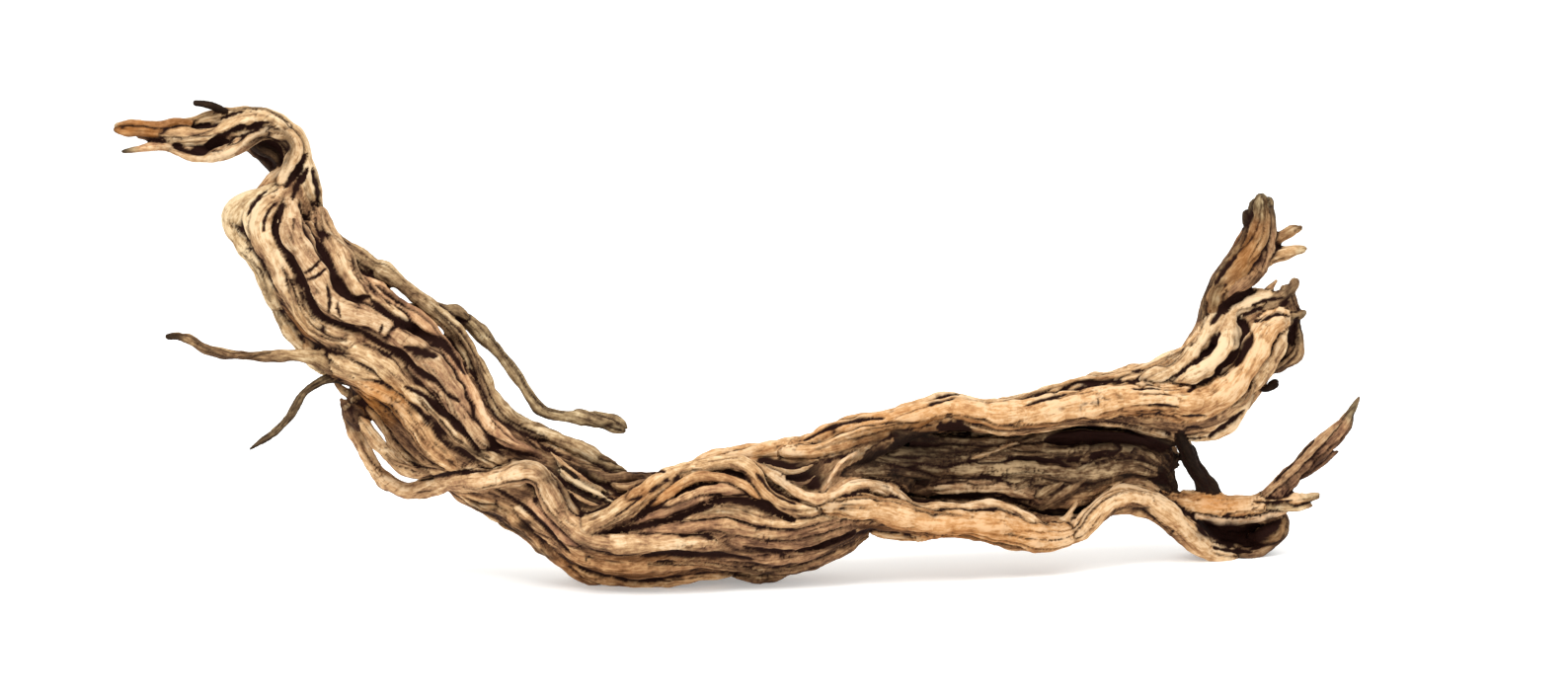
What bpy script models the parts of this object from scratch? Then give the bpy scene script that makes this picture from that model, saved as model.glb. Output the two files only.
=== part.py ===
# A piece of driftwood: one twisted, ropy length of vine wood that grew as one body.
# It rests on its belly, on a low heel behind the belly and on a root foot at the right,
# with both ends raised.
#
# The wood is a bundle of strands over a few lean cores. Every strand is placed by the
# point where it is seen from the front, in millimetres across and up, and by the depth
# at which it lies on the cores. +X is right, +Y is away from the viewer, +Z is up.

import math

import bmesh
import bpy
import numpy as np
from mathutils import Matrix, Vector

MM = 0.001

# Overall sizes in metres, and where the origin lies in the strands' own measure.
FLOOR_HEIGHT = 0.6 * MM
ORIGIN_ACROSS = 7.9 * MM
ORIGIN_DEPTH = 26.7 * MM

# The viewer from whom the strands are placed.
VIEW_DISTANCE = 2.2
VIEW_ELEVATION = math.radians(11.0)
VIEW_CENTRE = (0.024, 0.12175)

# How finely the strands and cores are followed, in millimetres and in sides.
STRAND_STEP = 16.5
CORE_STEP = 26.0
DENSE_CORE_STEP = 2.0
CORE_SIDES = 12
THIN_RADIUS = 3.3
THICK_RESOLUTION = 1
THIN_RESOLUTION = 0
WELD_DISTANCE = 1e-6

# How lying strands sit: how far past a core's rim, in its half widths, a strand still
# lies on it, and the share of its radius by which it sinks in.
CORE_REACH = 1.12
SINK = 0.25

# Back strands: their step and radius in millimetres, and the share of the radius that
# sinks in. Each sways about its angle, in radians, and its thickness swells by shares of
# its radius, in so many waves along the core. It is never thicker than a share of the
# core's half width.
BACK_STRAND_STEP = 1.5 * STRAND_STEP
BACK_STRAND_RADIUS = 6.5
BACK_SINK = 0.5
BACK_SWAY = 0.22
BACK_SWAY_WAVES = 1.6
BACK_SWELL_MEAN = 0.8
BACK_SWELL = 0.25
BACK_SWELL_WAVES = 2.3
BACK_SWELL_SHIFT = 3
BACK_WIDEST = 0.6
SEED = 41

# The block that planes the rests, in metres.
FLOOR_CUT_SIZE = (1.0, 0.5, 0.1)

WOOD_COLOR = (0.52, 0.32, 0.15, 1.0)
WOOD_ROUGHNESS = 0.82
SHARP_ANGLE = math.radians(50.0)

# Cores: across, up, depth, half width, half depth.
TRUNK_CORE = [
    (-222, 214, 14, 7, 7), (-223, 204, 12, 9.5, 10), (-232, 190, 10, 18, 15),
    (-226, 172, 8, 19, 18), (-207, 149, 6, 22, 20), (-185, 128, 5, 25, 22),
    (-160, 102, 4, 26, 23), (-138, 76, 3, 25, 24), (-108, 55, 4, 22, 24),
    (-80, 40, 5, 25, 26), (-50, 32, 6, 26, 27), (-20, 36, 8, 27, 27),
    (10, 40, 11, 30, 27), (40, 46, 15, 29, 26), (64, 56, 20, 24, 22), (82, 62, 25, 14, 16),
]
UPPER_CORE = [
    (38, 60, 16, 12, 20), (70, 76, 18, 9, 18), (100, 88, 24, 7.5, 17), (130, 88, 30, 7.5, 17),
    (160, 92, 36, 9.5, 17), (190, 96, 43, 12, 18), (213, 98, 49, 18, 19), (236, 102, 54, 20, 18),
    (252, 116, 58, 18, 16), (265, 130, 61, 16, 13), (276, 142, 63, 9, 9),
]
LOWER_CORE = [
    (36, 38, 14, 14, 22), (70, 41, 18, 10, 20), (100, 37, 24, 9, 16), (130, 35, 31, 10, 15),
    (156, 30, 38, 9, 13), (178, 36, 44, 5, 11), (197, 47, 50, 5.5, 10), (215, 43, 58, 6.5, 11),
    (228, 33, 65, 7, 12), (243, 22, 72, 5.5, 12), (258, 19, 75, 3.5, 9),
]
HEART_CORE = [
    (55, 60, 28, 14, 16), (80, 64, 32, 18, 16), (110, 63, 38, 21, 16), (140, 60, 44, 21, 16),
    (170, 61, 50, 22, 15), (195, 68, 54, 17, 13), (210, 67, 57, 12, 9), (220, 64, 60, 8, 6),
]
HOOK_CORE = [
    (-222, 206, 13, 8, 8), (-222, 218, 15, 6.5, 7), (-226, 228, 16, 6, 7), (-236, 234, 16, 5.5, 6),
    (-250, 234, 14, 5, 5.5), (-264, 231, 12, 4.5, 5), (-280, 230, 10, 3.5, 4), (-296, 232, 8, 2.5, 3),
]
BACK_LIMB_CORE = [
    (226, 114, 56, 7, 9), (238, 130, 60, 7, 10), (243, 145, 63, 8, 10), (250, 158, 65, 9, 11),
    (259, 171, 66, 9, 10), (264, 184, 66, 7, 7), (265, 197, 66, 5, 4.5),
]
CORES = [TRUNK_CORE, UPPER_CORE, LOWER_CORE, HEART_CORE, HOOK_CORE, BACK_LIMB_CORE]

# Strands that lie on the cores: how far they stand proud, then across, up, radius.
LYING_STRANDS = {
    "shoulder": (0, [
        (-229, 208, 4), (-237, 202, 5), (-246.5, 196, 6), (-253.5, 188.5, 7.3), (-249, 178, 6.7),
        (-243.5, 170, 6), (-239, 161, 6), (-234.5, 151, 6), (-230.5, 142, 6), (-225, 132, 6),
        (-217, 123, 6), (-210, 114, 5.5), (-203, 106, 4.5)]),
    "shoulder_inner": (1, [
        (-229, 203, 4), (-236, 196, 5.5), (-241, 188, 6.5), (-239, 178, 6), (-233, 168, 5.5),
        (-228, 159, 5.5), (-224, 150, 5.5), (-220, 142, 5.5), (-214, 135, 5), (-206, 129, 5),
        (-197, 127, 4.5), (-188, 123, 4)]),
    "pod": (1, [
        (-224, 203, 4), (-226, 196, 5.5), (-226, 188, 7), (-225, 180, 8), (-221, 172, 8),
        (-216, 164, 8), (-211, 156, 8), (-207, 149, 8), (-200, 143, 7), (-191, 140, 6),
        (-182, 136, 5), (-173, 131, 4.5), (-164, 127, 4)]),
    "arm_right": (0, [
        (-216, 203, 4.5), (-212, 194, 6), (-209, 185, 6.5), (-205, 177, 6), (-201, 169, 6),
        (-197, 161, 6.5), (-192, 153, 6), (-185, 147, 5), (-177, 141, 4.5), (-168, 134, 4.5),
        (-158, 129, 4)]),
    "edge_upper": (0, [
        (-202, 181, 3.4), (-194.5, 172.5, 4), (-185.5, 166, 4.4), (-176, 160, 4.6), (-167, 153, 4.6),
        (-158, 146, 4.5), (-149.5, 138, 4.5), (-142, 130, 4.5), (-135.5, 120.5, 4.6),
        (-130.5, 110.5, 4.6), (-126, 101, 4.6), (-120.5, 92, 4.6), (-112.5, 85.5, 4.6),
        (-102.5, 81, 4.6), (-91.5, 77.5, 4.6), (-81, 73, 4.6), (-72, 67.5, 4.2), (-62, 62, 3.6),
        (-51, 58, 3)]),
    "edge_inner": (2, [
        (-194, 162, 3.5), (-185, 155, 4), (-176, 148, 4.5), (-167, 141, 4.5), (-158, 133, 4.5),
        (-150, 124, 4.5), (-143, 114, 4.5), (-138, 104, 4.5), (-133, 94, 4.5), (-127, 85, 4),
        (-119, 78, 4), (-109, 73, 3.5), (-99, 69, 3)]),
    "pod_lower": (1, [
        (-182, 138, 4), (-174, 130, 5.5), (-166, 124, 6.5), (-158, 117, 7.5), (-151, 109, 8),
        (-145, 101, 7.5), (-140, 92, 6.5), (-135, 83, 5.5), (-128, 75, 4.5), (-119, 68, 4)]),
    "arm_lower": (0, [
        (-204, 121, 5), (-194, 121, 5.5), (-184, 117, 5.5), (-175, 111, 5.5), (-167, 104, 5.5),
        (-160, 97, 5), (-153, 91, 4.5), (-146, 85, 4.5), (-139, 77, 4.5), (-131, 70, 4),
        (-121, 65, 4), (-110, 62, 3.5)]),
    "arm_knot": (1, [
        (-207, 113, 5), (-198, 111, 6), (-189, 107, 6), (-180, 102, 6), (-171, 96, 6),
        (-164, 88, 5.5), (-158.5, 79, 5), (-153, 71, 4.5), (-145, 65, 4.5), (-135, 60, 4.5)]),
    "arm_edge": (0, [
        (-203, 105, 4.5), (-196, 99, 5), (-188, 95, 5.5), (-181, 89, 5.5), (-176, 81, 5),
        (-171.5, 73, 4.5), (-165, 66.5, 4), (-156, 62.5, 4), (-146, 61, 4), (-136, 58, 4)]),
    "loop_to_belly": (3, [
        (-200, 97, 4), (-197, 89, 4.5), (-193.5, 80, 4.5), (-189, 72, 4.5), (-184, 64, 4.5),
        (-178, 56, 4.5), (-171, 51, 5), (-161, 51, 5), (-150, 54, 5), (-139, 56, 5.5),
        (-127, 56.5, 5.5), (-116, 58.5, 5.5), (-106, 61, 5.5), (-99, 57.5, 5.5), (-95, 50, 5.5),
        (-91, 42, 5.5), (-85, 35, 5.3), (-78, 29, 5.2), (-69, 25, 5), (-57, 23.5, 4.6),
        (-44, 23.5, 4.4), (-30, 24, 4.4), (-16, 24, 4), (-4, 22, 3.2)]),
    "belly_outer": (0, [
        (-147, 52, 3.5), (-135, 48.5, 4.5), (-122.5, 45, 5), (-112, 39.5, 5.3), (-104.5, 33, 5.3),
        (-98, 26, 5.3), (-91, 18.5, 5), (-83.5, 12.5, 5), (-74, 8, 5), (-62, 5.8, 5), (-49, 5.3, 5),
        (-36, 6.7, 5), (-22, 9, 4.6), (-8, 9.6, 4.2), (4, 9, 3.8)]),
    "belly_middle": (0, [
        (-119, 48, 4.5), (-110, 42.5, 5), (-102, 36, 5), (-94, 30, 5), (-87, 24, 5), (-79, 19, 5),
        (-69, 15.5, 5), (-57, 13.8, 4.6), (-44, 14, 4.2), (-30, 14.5, 3.8), (-16, 14.5, 3.6),
        (-4, 13.2, 3.8), (8, 12, 4), (20, 12, 4), (33, 14, 4), (46, 18.5, 4), (57, 24, 4),
        (66, 29.5, 3.5)]),
    "belly_pink": (2, [
        (-105, 49, 4), (-101, 42, 4.5), (-95, 36, 4.5), (-89, 30.5, 4.2), (-83, 26, 4),
        (-76, 21.5, 3.6)]),
    "belly_fold": (1, [
        (-16, 20, 2.5), (-5, 19, 3), (6, 17.5, 3.5), (17, 17, 3.6), (28, 18, 3.6), (39, 21, 3.6),
        (50, 25.5, 3.5), (60, 30, 3.5), (69, 34.5, 3)]),
    "belly_low": (0, [
        (-7, 9.5, 3), (5, 8.3, 3.6), (16, 8.5, 4), (27, 10.5, 4), (38, 14, 4), (48, 18, 4),
        (58, 23, 3.6), (67, 27.5, 3)]),
    "arch_outer": (2, [
        (-84, 39, 3.5), (-75, 36, 5), (-65, 37, 5.5), (-57, 41, 5.5), (-50, 46, 5.5),
        (-43, 51, 5.5), (-36, 56, 5), (-28, 60.5, 4.6), (-18, 63, 4.5), (-7, 64.5, 4.5),
        (3, 63.5, 4.4), (9, 58.5, 4), (13, 52, 3.6), (19, 46, 3.6), (28, 42, 4), (38, 41, 4.5),
        (49, 42.5, 5)]),
    "arch_rim": (1, [
        (-47, 41, 2.2), (-38, 47, 2.4), (-29, 53, 2.4), (-21, 57.5, 2.5), (-12, 57.8, 2.5),
        (-3, 56, 2.5), (5, 52.5, 2.4), (11, 47, 2.2), (18, 42.5, 2)]),
    "arch_middle": (0, [
        (-46, 37, 2.4), (-36, 41.5, 2.6), (-26, 46.5, 2.6), (-17, 50.5, 2.6), (-8, 51.5, 2.6),
        (1, 50.5, 2.4), (8, 46.5, 2.2)]),
    "under_arch": (1, [
        (-27, 34.5, 2), (-19, 38, 2.4), (-10, 40, 2.5), (0, 39, 2.5), (9, 36, 2.5), (19, 34, 2.6),
        (30, 34, 2.7), (42, 36.5, 2.7), (53, 39, 2.6)]),
    "under_arch_low": (0, [
        (-52, 28.5, 2.4), (-40, 30.5, 2.6), (-28, 31.5, 2.7), (-16, 33.5, 2.8), (-5, 33.5, 2.9),
        (6, 30.5, 3), (18, 29, 3.2), (30, 29.5, 3.2), (42, 32, 3.2), (54, 35, 3.2), (65, 38, 3)]),
    "under_arch_brown": (0, [
        (-12, 28, 2.4), (-2, 26.5, 2.8), (9, 24.5, 3), (20, 24, 3.2), (31, 24.5, 3.2),
        (43, 28, 3.2), (55, 32, 3.2), (67, 35, 2.8)]),
    "lower_lip": (3, [
        (34, 41.5, 4), (47, 43, 5.2), (60, 43.5, 5.8), (72, 42, 6), (84, 38, 6.2), (97, 35, 6.6),
        (111, 34.3, 7), (125, 33, 7.3), (138, 30.5, 7.3), (150, 27.5, 6.8), (161, 26.5, 6.2),
        (171, 29, 5.6), (178, 35, 5.2)]),
    "lip_low": (-2, [
        (64, 30.5, 3), (79, 28, 3.6), (94, 29, 3.6), (109, 30, 3.4), (122, 28, 3.6),
        (135, 25.3, 3.9), (147, 22.8, 3.8), (159, 22.3, 3.6), (172, 26.5, 3)]),
    "foot_rope": (2, [
        (152, 27, 5), (163, 26, 5.2), (172, 29, 5.2), (178, 35, 5), (183, 41, 5), (190, 46, 5),
        (199, 49, 5), (207, 47.5, 5.5), (214, 43, 6), (221, 37, 6.3), (227, 30.5, 6.3),
        (234, 24, 5.8), (242, 18.8, 5), (252, 17.3, 4.2), (262, 18.6, 3.4)]),
    "foot_upper": (2, [
        (176, 37, 3), (182, 43.5, 3.4), (189, 49, 3.5), (197, 52.5, 3.6), (206, 53, 3.6),
        (214, 49.5, 3.5), (223, 47, 3.4)]),
    "foot_under": (0, [
        (183, 35, 3), (190, 39.7, 3.2), (198, 42, 3.4), (206, 40.5, 3.6), (214, 36, 4),
        (222, 30.5, 4), (230, 24, 4), (238, 19, 4), (247, 17, 3)]),
    "pocket_rim": (2, [
        (8, 66.5, 2.2), (14, 61.5, 2.6), (21, 56.5, 2.8), (29, 51, 3), (37, 46.5, 3),
        (46, 46.5, 3.1), (54, 51, 3.2), (63, 53.7, 3.2), (73, 53, 3.1), (81, 49, 3.1),
        (87, 43.5, 3.1), (96, 41.5, 3), (107, 42, 2.8), (118, 42, 2.6), (128, 43.5, 2.7),
        (137, 41.5, 3), (146, 37.5, 3.2), (154, 33, 3), (162, 30, 2.5)]),
    "top_mass": (1, [
        (-26, 63, 3), (-14, 67, 4), (-1, 68.7, 4.5), (12, 70.5, 5), (25, 72, 5.5), (38, 75, 6),
        (50, 79, 6.5), (62, 82, 6.5), (74, 84.5, 6), (86, 88, 5.5), (98, 91, 5.5), (110, 93, 5.8),
        (122, 90.5, 6.2), (136, 88.5, 6.8), (150, 90, 7), (164, 93, 7), (178, 95, 7.5),
        (192, 97, 8), (206, 98, 8.5), (220, 96.5, 9), (232, 95, 9), (243, 98.5, 8.6),
        (252, 106, 8), (259, 115, 7.5), (264, 124, 7), (269, 132.5, 6.5), (277, 138.5, 5),
        (285, 140, 3.2)]),
    "top_mass_low": (0, [
        (14, 66.5, 3), (26, 67, 3.6), (38, 67.5, 4.2), (48, 70.5, 4.6), (57, 74, 4.6),
        (67, 76, 4), (76, 78, 3)]),
    "lip_top": (0, [
        (40, 79.5, 2.4), (52, 84.5, 3), (64, 87, 3), (76, 89, 3), (88, 92, 3.2), (100, 95.5, 3.4),
        (111, 97, 3.6), (122, 95, 3.6), (135, 94, 3.8), (148, 96.5, 3.8), (160, 100.5, 4),
        (172, 103.5, 4.2), (184, 105, 4.4), (196, 107, 4.6), (207, 110.5, 4.8), (217.5, 114.5, 5),
        (227, 120, 5), (235.5, 127.5, 5.2), (241.5, 136, 5.6)]),
    "lip_under": (0, [
        (80, 83, 2.4), (91, 86, 2.6), (103, 88, 2.8), (113, 87, 3.4), (124, 83.5, 3.6),
        (138, 81.7, 3.6), (152, 82.7, 3.6), (166, 85, 3.6), (180, 86, 3.4), (194, 85.3, 3.4),
        (206, 82.5, 3.4), (217, 79.5, 3.6), (228, 78.3, 3.8), (239, 79, 4), (248, 82.5, 4.2),
        (254, 89.5, 4.2), (260, 97.5, 3.8), (265, 105, 3.5)]),
    "fork_rib_outer": (1, [
        (196, 102.5, 4.2), (210, 106, 4.8), (223, 111, 5.2), (233, 118, 5.2), (240, 126, 4.8),
        (246, 134, 4.8), (251, 142, 5.2), (259, 147.5, 5.6), (268, 150.5, 5.4), (277, 151.5, 4.4)]),
    "fork_rib_middle": (3, [
        (216, 103, 4), (229, 106, 5), (240, 112, 5.4), (248, 120, 5), (250, 129, 4.2),
        (254, 137.5, 4.6), (262, 142, 5), (272, 144.5, 5), (281, 145, 4)]),
    "fork_edge": (0, [
        (238, 86, 5), (248, 92, 5.4), (256, 100, 5.4), (263.5, 109, 5.4), (270, 118, 5.4),
        (276, 127, 5), (280.5, 136, 4)]),
    "limb_rib": (1, [
        (239, 134, 4), (241.5, 143, 5), (244, 152, 5.5), (249.5, 160, 6), (256, 168, 6.5),
        (262, 177, 6), (264.5, 187, 5.4), (265, 197, 4.6)]),
    "limb_front": (2, [
        (243, 141, 4), (248, 149, 5), (255, 156, 5.6), (262, 162, 5.6), (267, 169, 5),
        (269.5, 177, 4), (270.5, 186, 3), (270, 193, 2.4)]),
    "heart_low": (0, [
        (88, 49.5, 3), (98, 51.5, 4), (110, 52.5, 4.5), (124, 52.5, 4.5), (138, 51.5, 4.5),
        (150, 48, 4), (159, 43, 3.4)]),
    "heart_band": (0, [
        (104, 62, 3), (118, 61.5, 4.5), (133, 61, 5), (148, 60.5, 5), (162, 59.5, 4.6),
        (176, 59, 4.2), (190, 61, 4.2), (202, 62.5, 4), (211, 59.5, 3.8), (217.5, 53.5, 3.4)]),
    "heart_top": (0, [
        (66, 68, 3.4), (79, 69.5, 4.2), (92, 70, 4.4), (105, 70.5, 4), (118, 71, 3.6),
        (132, 71.5, 3.4), (146, 71, 3.4), (160, 70.5, 3.8), (174, 71, 4), (188, 72.5, 4),
        (200, 71.5, 4), (210, 67.5, 3.6), (217, 61, 3)]),
    "hook_outer": (0, [
        (-208, 189, 4), (-213, 199, 4.5), (-216, 209, 4.8), (-219.5, 220, 5), (-225, 230.5, 5),
        (-233, 237.5, 4.8), (-243, 240.3, 4.5), (-254, 240.8, 4.2), (-265, 239.3, 3.8),
        (-276, 237, 3.6), (-287, 234.5, 3.6), (-298, 233.6, 4), (-307, 234.6, 4), (-314, 235, 2.4)]),
    "hook_wrap": (3, [
        (-234, 203, 4.5), (-229, 211, 4.5), (-224, 219, 4.4), (-225.5, 227, 4.4),
        (-232, 232.5, 4.3), (-241, 234.6, 4), (-251, 234, 3.8), (-261, 232, 3.4),
        (-271, 231, 3.2), (-281, 231.3, 3), (-291, 231, 2.4)]),
}

# Strands that leave the cores: across, up, radius, depth.
FREE_STRANDS = {
    "hook_low": [
        (-232, 229, 3, 10), (-241, 226, 3.4, 7), (-252, 223, 3.7, 5), (-263, 221.3, 3.5, 4),
        (-274, 221.6, 3.1, 3), (-284, 223.3, 2.6, 2), (-294, 224.5, 2.3, 2), (-303, 223.5, 2, 1),
        (-311, 222.3, 1.4, 1)],
    "hook_middle": [
        (-230, 233, 3, 12), (-240, 231, 3.2, 10), (-251, 228.5, 3.2, 9), (-262, 226.5, 3, 8),
        (-273, 226.3, 3, 7), (-284, 227.5, 2.8, 6), (-294, 229, 2.4, 5), (-303, 230, 1.6, 4)],
    "hook_web": [
        (-252, 227, 3, 19), (-243, 224, 5, 22), (-236, 218, 6, 23), (-231, 209, 5, 21),
        (-229, 200, 5, 17)],
    "hook_stub": [
        (-252, 241.5, 2, 12), (-260, 243.7, 1.7, 9), (-267, 245.5, 1.5, 7), (-274, 246.5, 1.1, 5)],
    "belly_heel": [
        (-88, 22, 4.5, 22), (-72, 14, 6, 26), (-54, 11.2, 6.5, 27), (-34, 11, 6.5, 27),
        (-15, 12.2, 6.2, 28), (4, 15.5, 5.4, 29), (22, 21, 4.5, 30)],
    "loop_inner": [
        (-197, 92, 3.6, -6), (-190, 85, 3.8, -9), (-184, 77, 3.8, -10), (-178, 70.5, 3.6, -10),
        (-171.5, 63.5, 3.6, -10), (-163.5, 59.5, 3.6, -9), (-154, 60.5, 3.6, -9),
        (-145, 62, 3.6, -10)],
    "left_root_high": [
        (-196, 108, 4, 0), (-205, 113, 4, -5), (-213, 117.5, 3.6, -9), (-223, 118.8, 3.2, -12),
        (-235, 118.6, 3, -14), (-248, 118.8, 2.9, -16), (-260, 120, 3, -19), (-270, 122.5, 3.1, -23),
        (-277, 126.7, 3, -26), (-283, 128.8, 2.6, -29), (-288.5, 128.5, 1.9, -31)],
    "left_root_low": [
        (-197, 106, 3, 0), (-205, 107.5, 2.6, -2), (-213, 104.5, 2.3, -4), (-220, 99, 2.3, -6),
        (-223.5, 93, 2.3, -8), (-228, 86, 2.1, -10), (-235, 79, 1.9, -12), (-241, 75, 1.6, -14),
        (-246.5, 71.5, 1.2, -15)],
    "side_shoot": [
        (-166, 142, 3.5, 14), (-156, 143, 4, 13), (-147, 141, 4, 13), (-139, 138, 3.9, 13),
        (-131, 132, 3.8, 12), (-123.5, 124, 3.6, 11), (-116.5, 115.5, 3.4, 10),
        (-110, 106.5, 3.3, 9), (-104, 97.5, 3.2, 8), (-98, 91, 3.4, 7), (-89, 88.7, 3.5, 6),
        (-80, 88, 3.7, 5), (-71, 86, 4.7, 4), (-63, 84, 5.2, 3), (-57.5, 82.5, 4, 2)],
    "plank": [
        (214, 48, 4, 55), (224, 46, 5, 58), (234, 44, 5.8, 61), (244, 43.2, 6.4, 64),
        (255, 43, 6.2, 66), (266, 44, 5.4, 68), (276, 45.3, 4.6, 70), (286, 46.5, 3.8, 72),
        (294.5, 48, 2.2, 74)],
    "spike": [
        (263, 45, 5, 69), (272, 49.5, 5, 70), (279, 56, 5.2, 71), (286, 63, 5.6, 73),
        (293.5, 70, 5.5, 75), (301, 77, 5, 76), (307.5, 84, 3.8, 77), (311.5, 91, 2.4, 78),
        (315.3, 98, 1.2, 79)],
    "spike_splinter": [
        (280, 57, 2.5, 72), (287, 59.5, 3.4, 74), (294, 64, 3.2, 76), (300, 68, 2.4, 77),
        (304.5, 70.5, 1.2, 78)],
    "foot_floor": [
        (216, 40, 5, 64), (228, 33, 6, 70), (240, 27, 7, 76), (251, 25, 6.6, 79),
        (262, 26.5, 5.5, 80), (270, 30, 4.6, 80), (275, 34.5, 3.6, 80)],
    "foot_cheek": [
        (238, 38, 5, 75), (250, 36, 6, 79), (262, 36.5, 5.4, 80), (272, 38, 3.6, 79)],
    "foot_end": [
        (252, 17.5, 3, 67), (262, 18.8, 3.4, 69), (270, 23, 3.6, 71), (275.5, 28.5, 3.5, 74),
        (277.5, 35, 3.1, 76), (274, 40, 2.6, 77)],
    "strut": [
        (222, 82, 4, 50), (226.5, 75, 4.2, 52), (230.5, 67.5, 4.6, 55), (235, 59.5, 4.8, 57),
        (240, 52, 4.8, 58), (243, 46, 4, 58)],
    "strut_thin": [
        (213, 58, 2, 56), (219, 62.3, 1.6, 56), (224, 67.3, 1.6, 55), (228.5, 73, 2, 54)],
    "fork_lump": [
        (268, 112, 4, 62), (275, 115.5, 5, 65), (281, 121, 6, 67), (282.5, 128, 5.4, 67),
        (282, 136, 5, 65), (281, 145, 4.6, 63), (278, 153, 4, 61)],
    "fork_stub": [
        (258, 103, 3, 58), (264, 101.7, 2.2, 58), (269, 102.5, 2.4, 58), (273.5, 105, 2.5, 58)],
    "limb_stub_high": [
        (262, 173, 4, 64), (270, 176.5, 3.6, 64), (277, 179.8, 3.2, 65), (282.5, 183, 3.2, 66),
        (286, 184, 2.2, 67)],
    "limb_stub_low": [
        (258, 163, 4.5, 62), (266, 167, 4.4, 62), (273.5, 169.5, 4.2, 62), (280.5, 171.5, 3.5, 62),
        (287.5, 172.7, 2, 63)],
    "limb_spur": [
        (263, 182, 4, 62), (259.5, 187, 3.2, 61), (257.5, 191.5, 1.8, 61)],
}

# Back strands: which core, first and last angle round it, and how many lie between.
BACK_RULES = [
    ("trunk", TRUNK_CORE, 196, 344, 6),
    ("upper", UPPER_CORE, 200, 340, 3),
    ("lower", LOWER_CORE, 215, 325, 2),
    ("heart", HEART_CORE, 215, 325, 3),
]


def seen_point(across, up, depth):
    """The point at a given depth on the line of sight through a seen place, in metres."""
    tilt = VIEW_ELEVATION
    right = Vector((1, 0, 0))
    upward = Vector((0, math.sin(tilt), math.cos(tilt)))
    forward = Vector((0, math.cos(tilt), -math.sin(tilt)))
    eye = right * VIEW_CENTRE[0] + upward * VIEW_CENTRE[1] - forward * VIEW_DISTANCE
    on_plane = right * (across * MM) + upward * (up * MM)
    reach = (depth * MM - eye.y) / (on_plane.y - eye.y)
    point = eye + (on_plane - eye) * reach
    return point - Vector((ORIGIN_ACROSS, ORIGIN_DEPTH, FLOOR_HEIGHT))


def along(rows, spacing):
    """Rows read about every spacing from a smooth curve through the given rows."""
    rows = np.array(rows, float)
    chord = np.concatenate([[0], np.cumsum(np.hypot(*np.diff(rows[:, :2], axis=0).T))])
    count = max(3, round(chord[-1] / spacing) + 1)
    place = np.linspace(0, chord[-1], count)
    slope = np.gradient(rows, chord, axis=0)
    first = np.clip(np.searchsorted(chord, place, side="right") - 1, 0, len(rows) - 2)
    span = (chord[first + 1] - chord[first])[:, None]
    t = (place - chord[first])[:, None] / span
    return ((2 * t**3 - 3 * t**2 + 1) * rows[first] + (t**3 - 2 * t**2 + t) * span * slope[first]
            + (3 * t**2 - 2 * t**3) * rows[first + 1] + (t**3 - t**2) * span * slope[first + 1])


DENSE_CORES = [along(rows, DENSE_CORE_STEP) for rows in CORES]


def front_depth(across, up):
    """How deep the cores' front face lies behind a seen place."""
    faces = []
    nearest = None
    for core in DENSE_CORES:
        distance = np.hypot(core[:, 0] - across, core[:, 1] - up)
        at = int(np.argmin(distance / core[:, 3]))
        off = distance[at] / core[at, 3]
        if off < CORE_REACH:
            faces.append(core[at, 2] - core[at, 4] * math.sqrt(max(0.0, 1 - min(off, 1) ** 2)))
        if nearest is None or off < nearest[0]:
            nearest = (off, core[at, 2])
    return min(faces) if faces else nearest[1]


def lay_on_cores(rows, proud):
    """A lying strand's rows with the depth that seats it in the cores' front face."""
    rows = along(rows, STRAND_STEP / 2)
    depth = np.array([front_depth(across, up) for across, up, radius in rows])
    padded = np.concatenate([[depth[0]], depth, [depth[-1]]])
    depth = (padded[:-2] + 2 * padded[1:-1] + padded[2:]) / 4
    depth = depth + rows[:, 2] * SINK - proud
    return np.column_stack([rows, depth])


def equal_area_factor(sides):
    """How much wider a regular polygon's corners lie than the circle of the same area."""
    return math.sqrt(2 * math.pi / (sides * math.sin(2 * math.pi / sides)))


def link(obj, collection):
    collection.objects.link(obj)
    return obj


def closed_mesh(obj, collection):
    """A curve's evaluated mesh as an object of its own, with its caps welded on."""
    graph = bpy.context.evaluated_depsgraph_get()
    mesh = bpy.data.meshes.new_from_object(obj.evaluated_get(graph))
    bm = bmesh.new()
    bm.from_mesh(mesh)
    bmesh.ops.remove_doubles(bm, verts=bm.verts, dist=WELD_DISTANCE)
    bmesh.ops.recalc_face_normals(bm, faces=bm.faces)
    bm.to_mesh(mesh)
    bm.free()
    solid = bpy.data.objects.new(obj.name + "_solid", mesh)
    solid.matrix_world = obj.matrix_world.copy()
    collection.objects.link(solid)
    bpy.data.objects.remove(obj)
    return solid


def strand(name, rows, collection):
    """One tapered strand as a tube along its rows of across, up, radius and depth."""
    rows = along(rows, STRAND_STEP)
    curve = bpy.data.curves.new(name, "CURVE")
    curve.dimensions = "3D"
    thin = max(rows[:, 2]) < THIN_RADIUS
    curve.bevel_resolution = THIN_RESOLUTION if thin else THICK_RESOLUTION
    sides = 4 + 2 * curve.bevel_resolution
    curve.bevel_depth = MM * equal_area_factor(sides)
    curve.use_fill_caps = True
    spline = curve.splines.new("POLY")
    spline.points.add(len(rows) - 1)
    for point, (across, up, radius, depth) in zip(spline.points, rows):
        point.co = (*seen_point(across, up, depth), 1)
        point.radius = radius
    obj = link(bpy.data.objects.new(name, curve), collection)
    bpy.context.view_layer.update()
    return closed_mesh(obj, collection)


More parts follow.
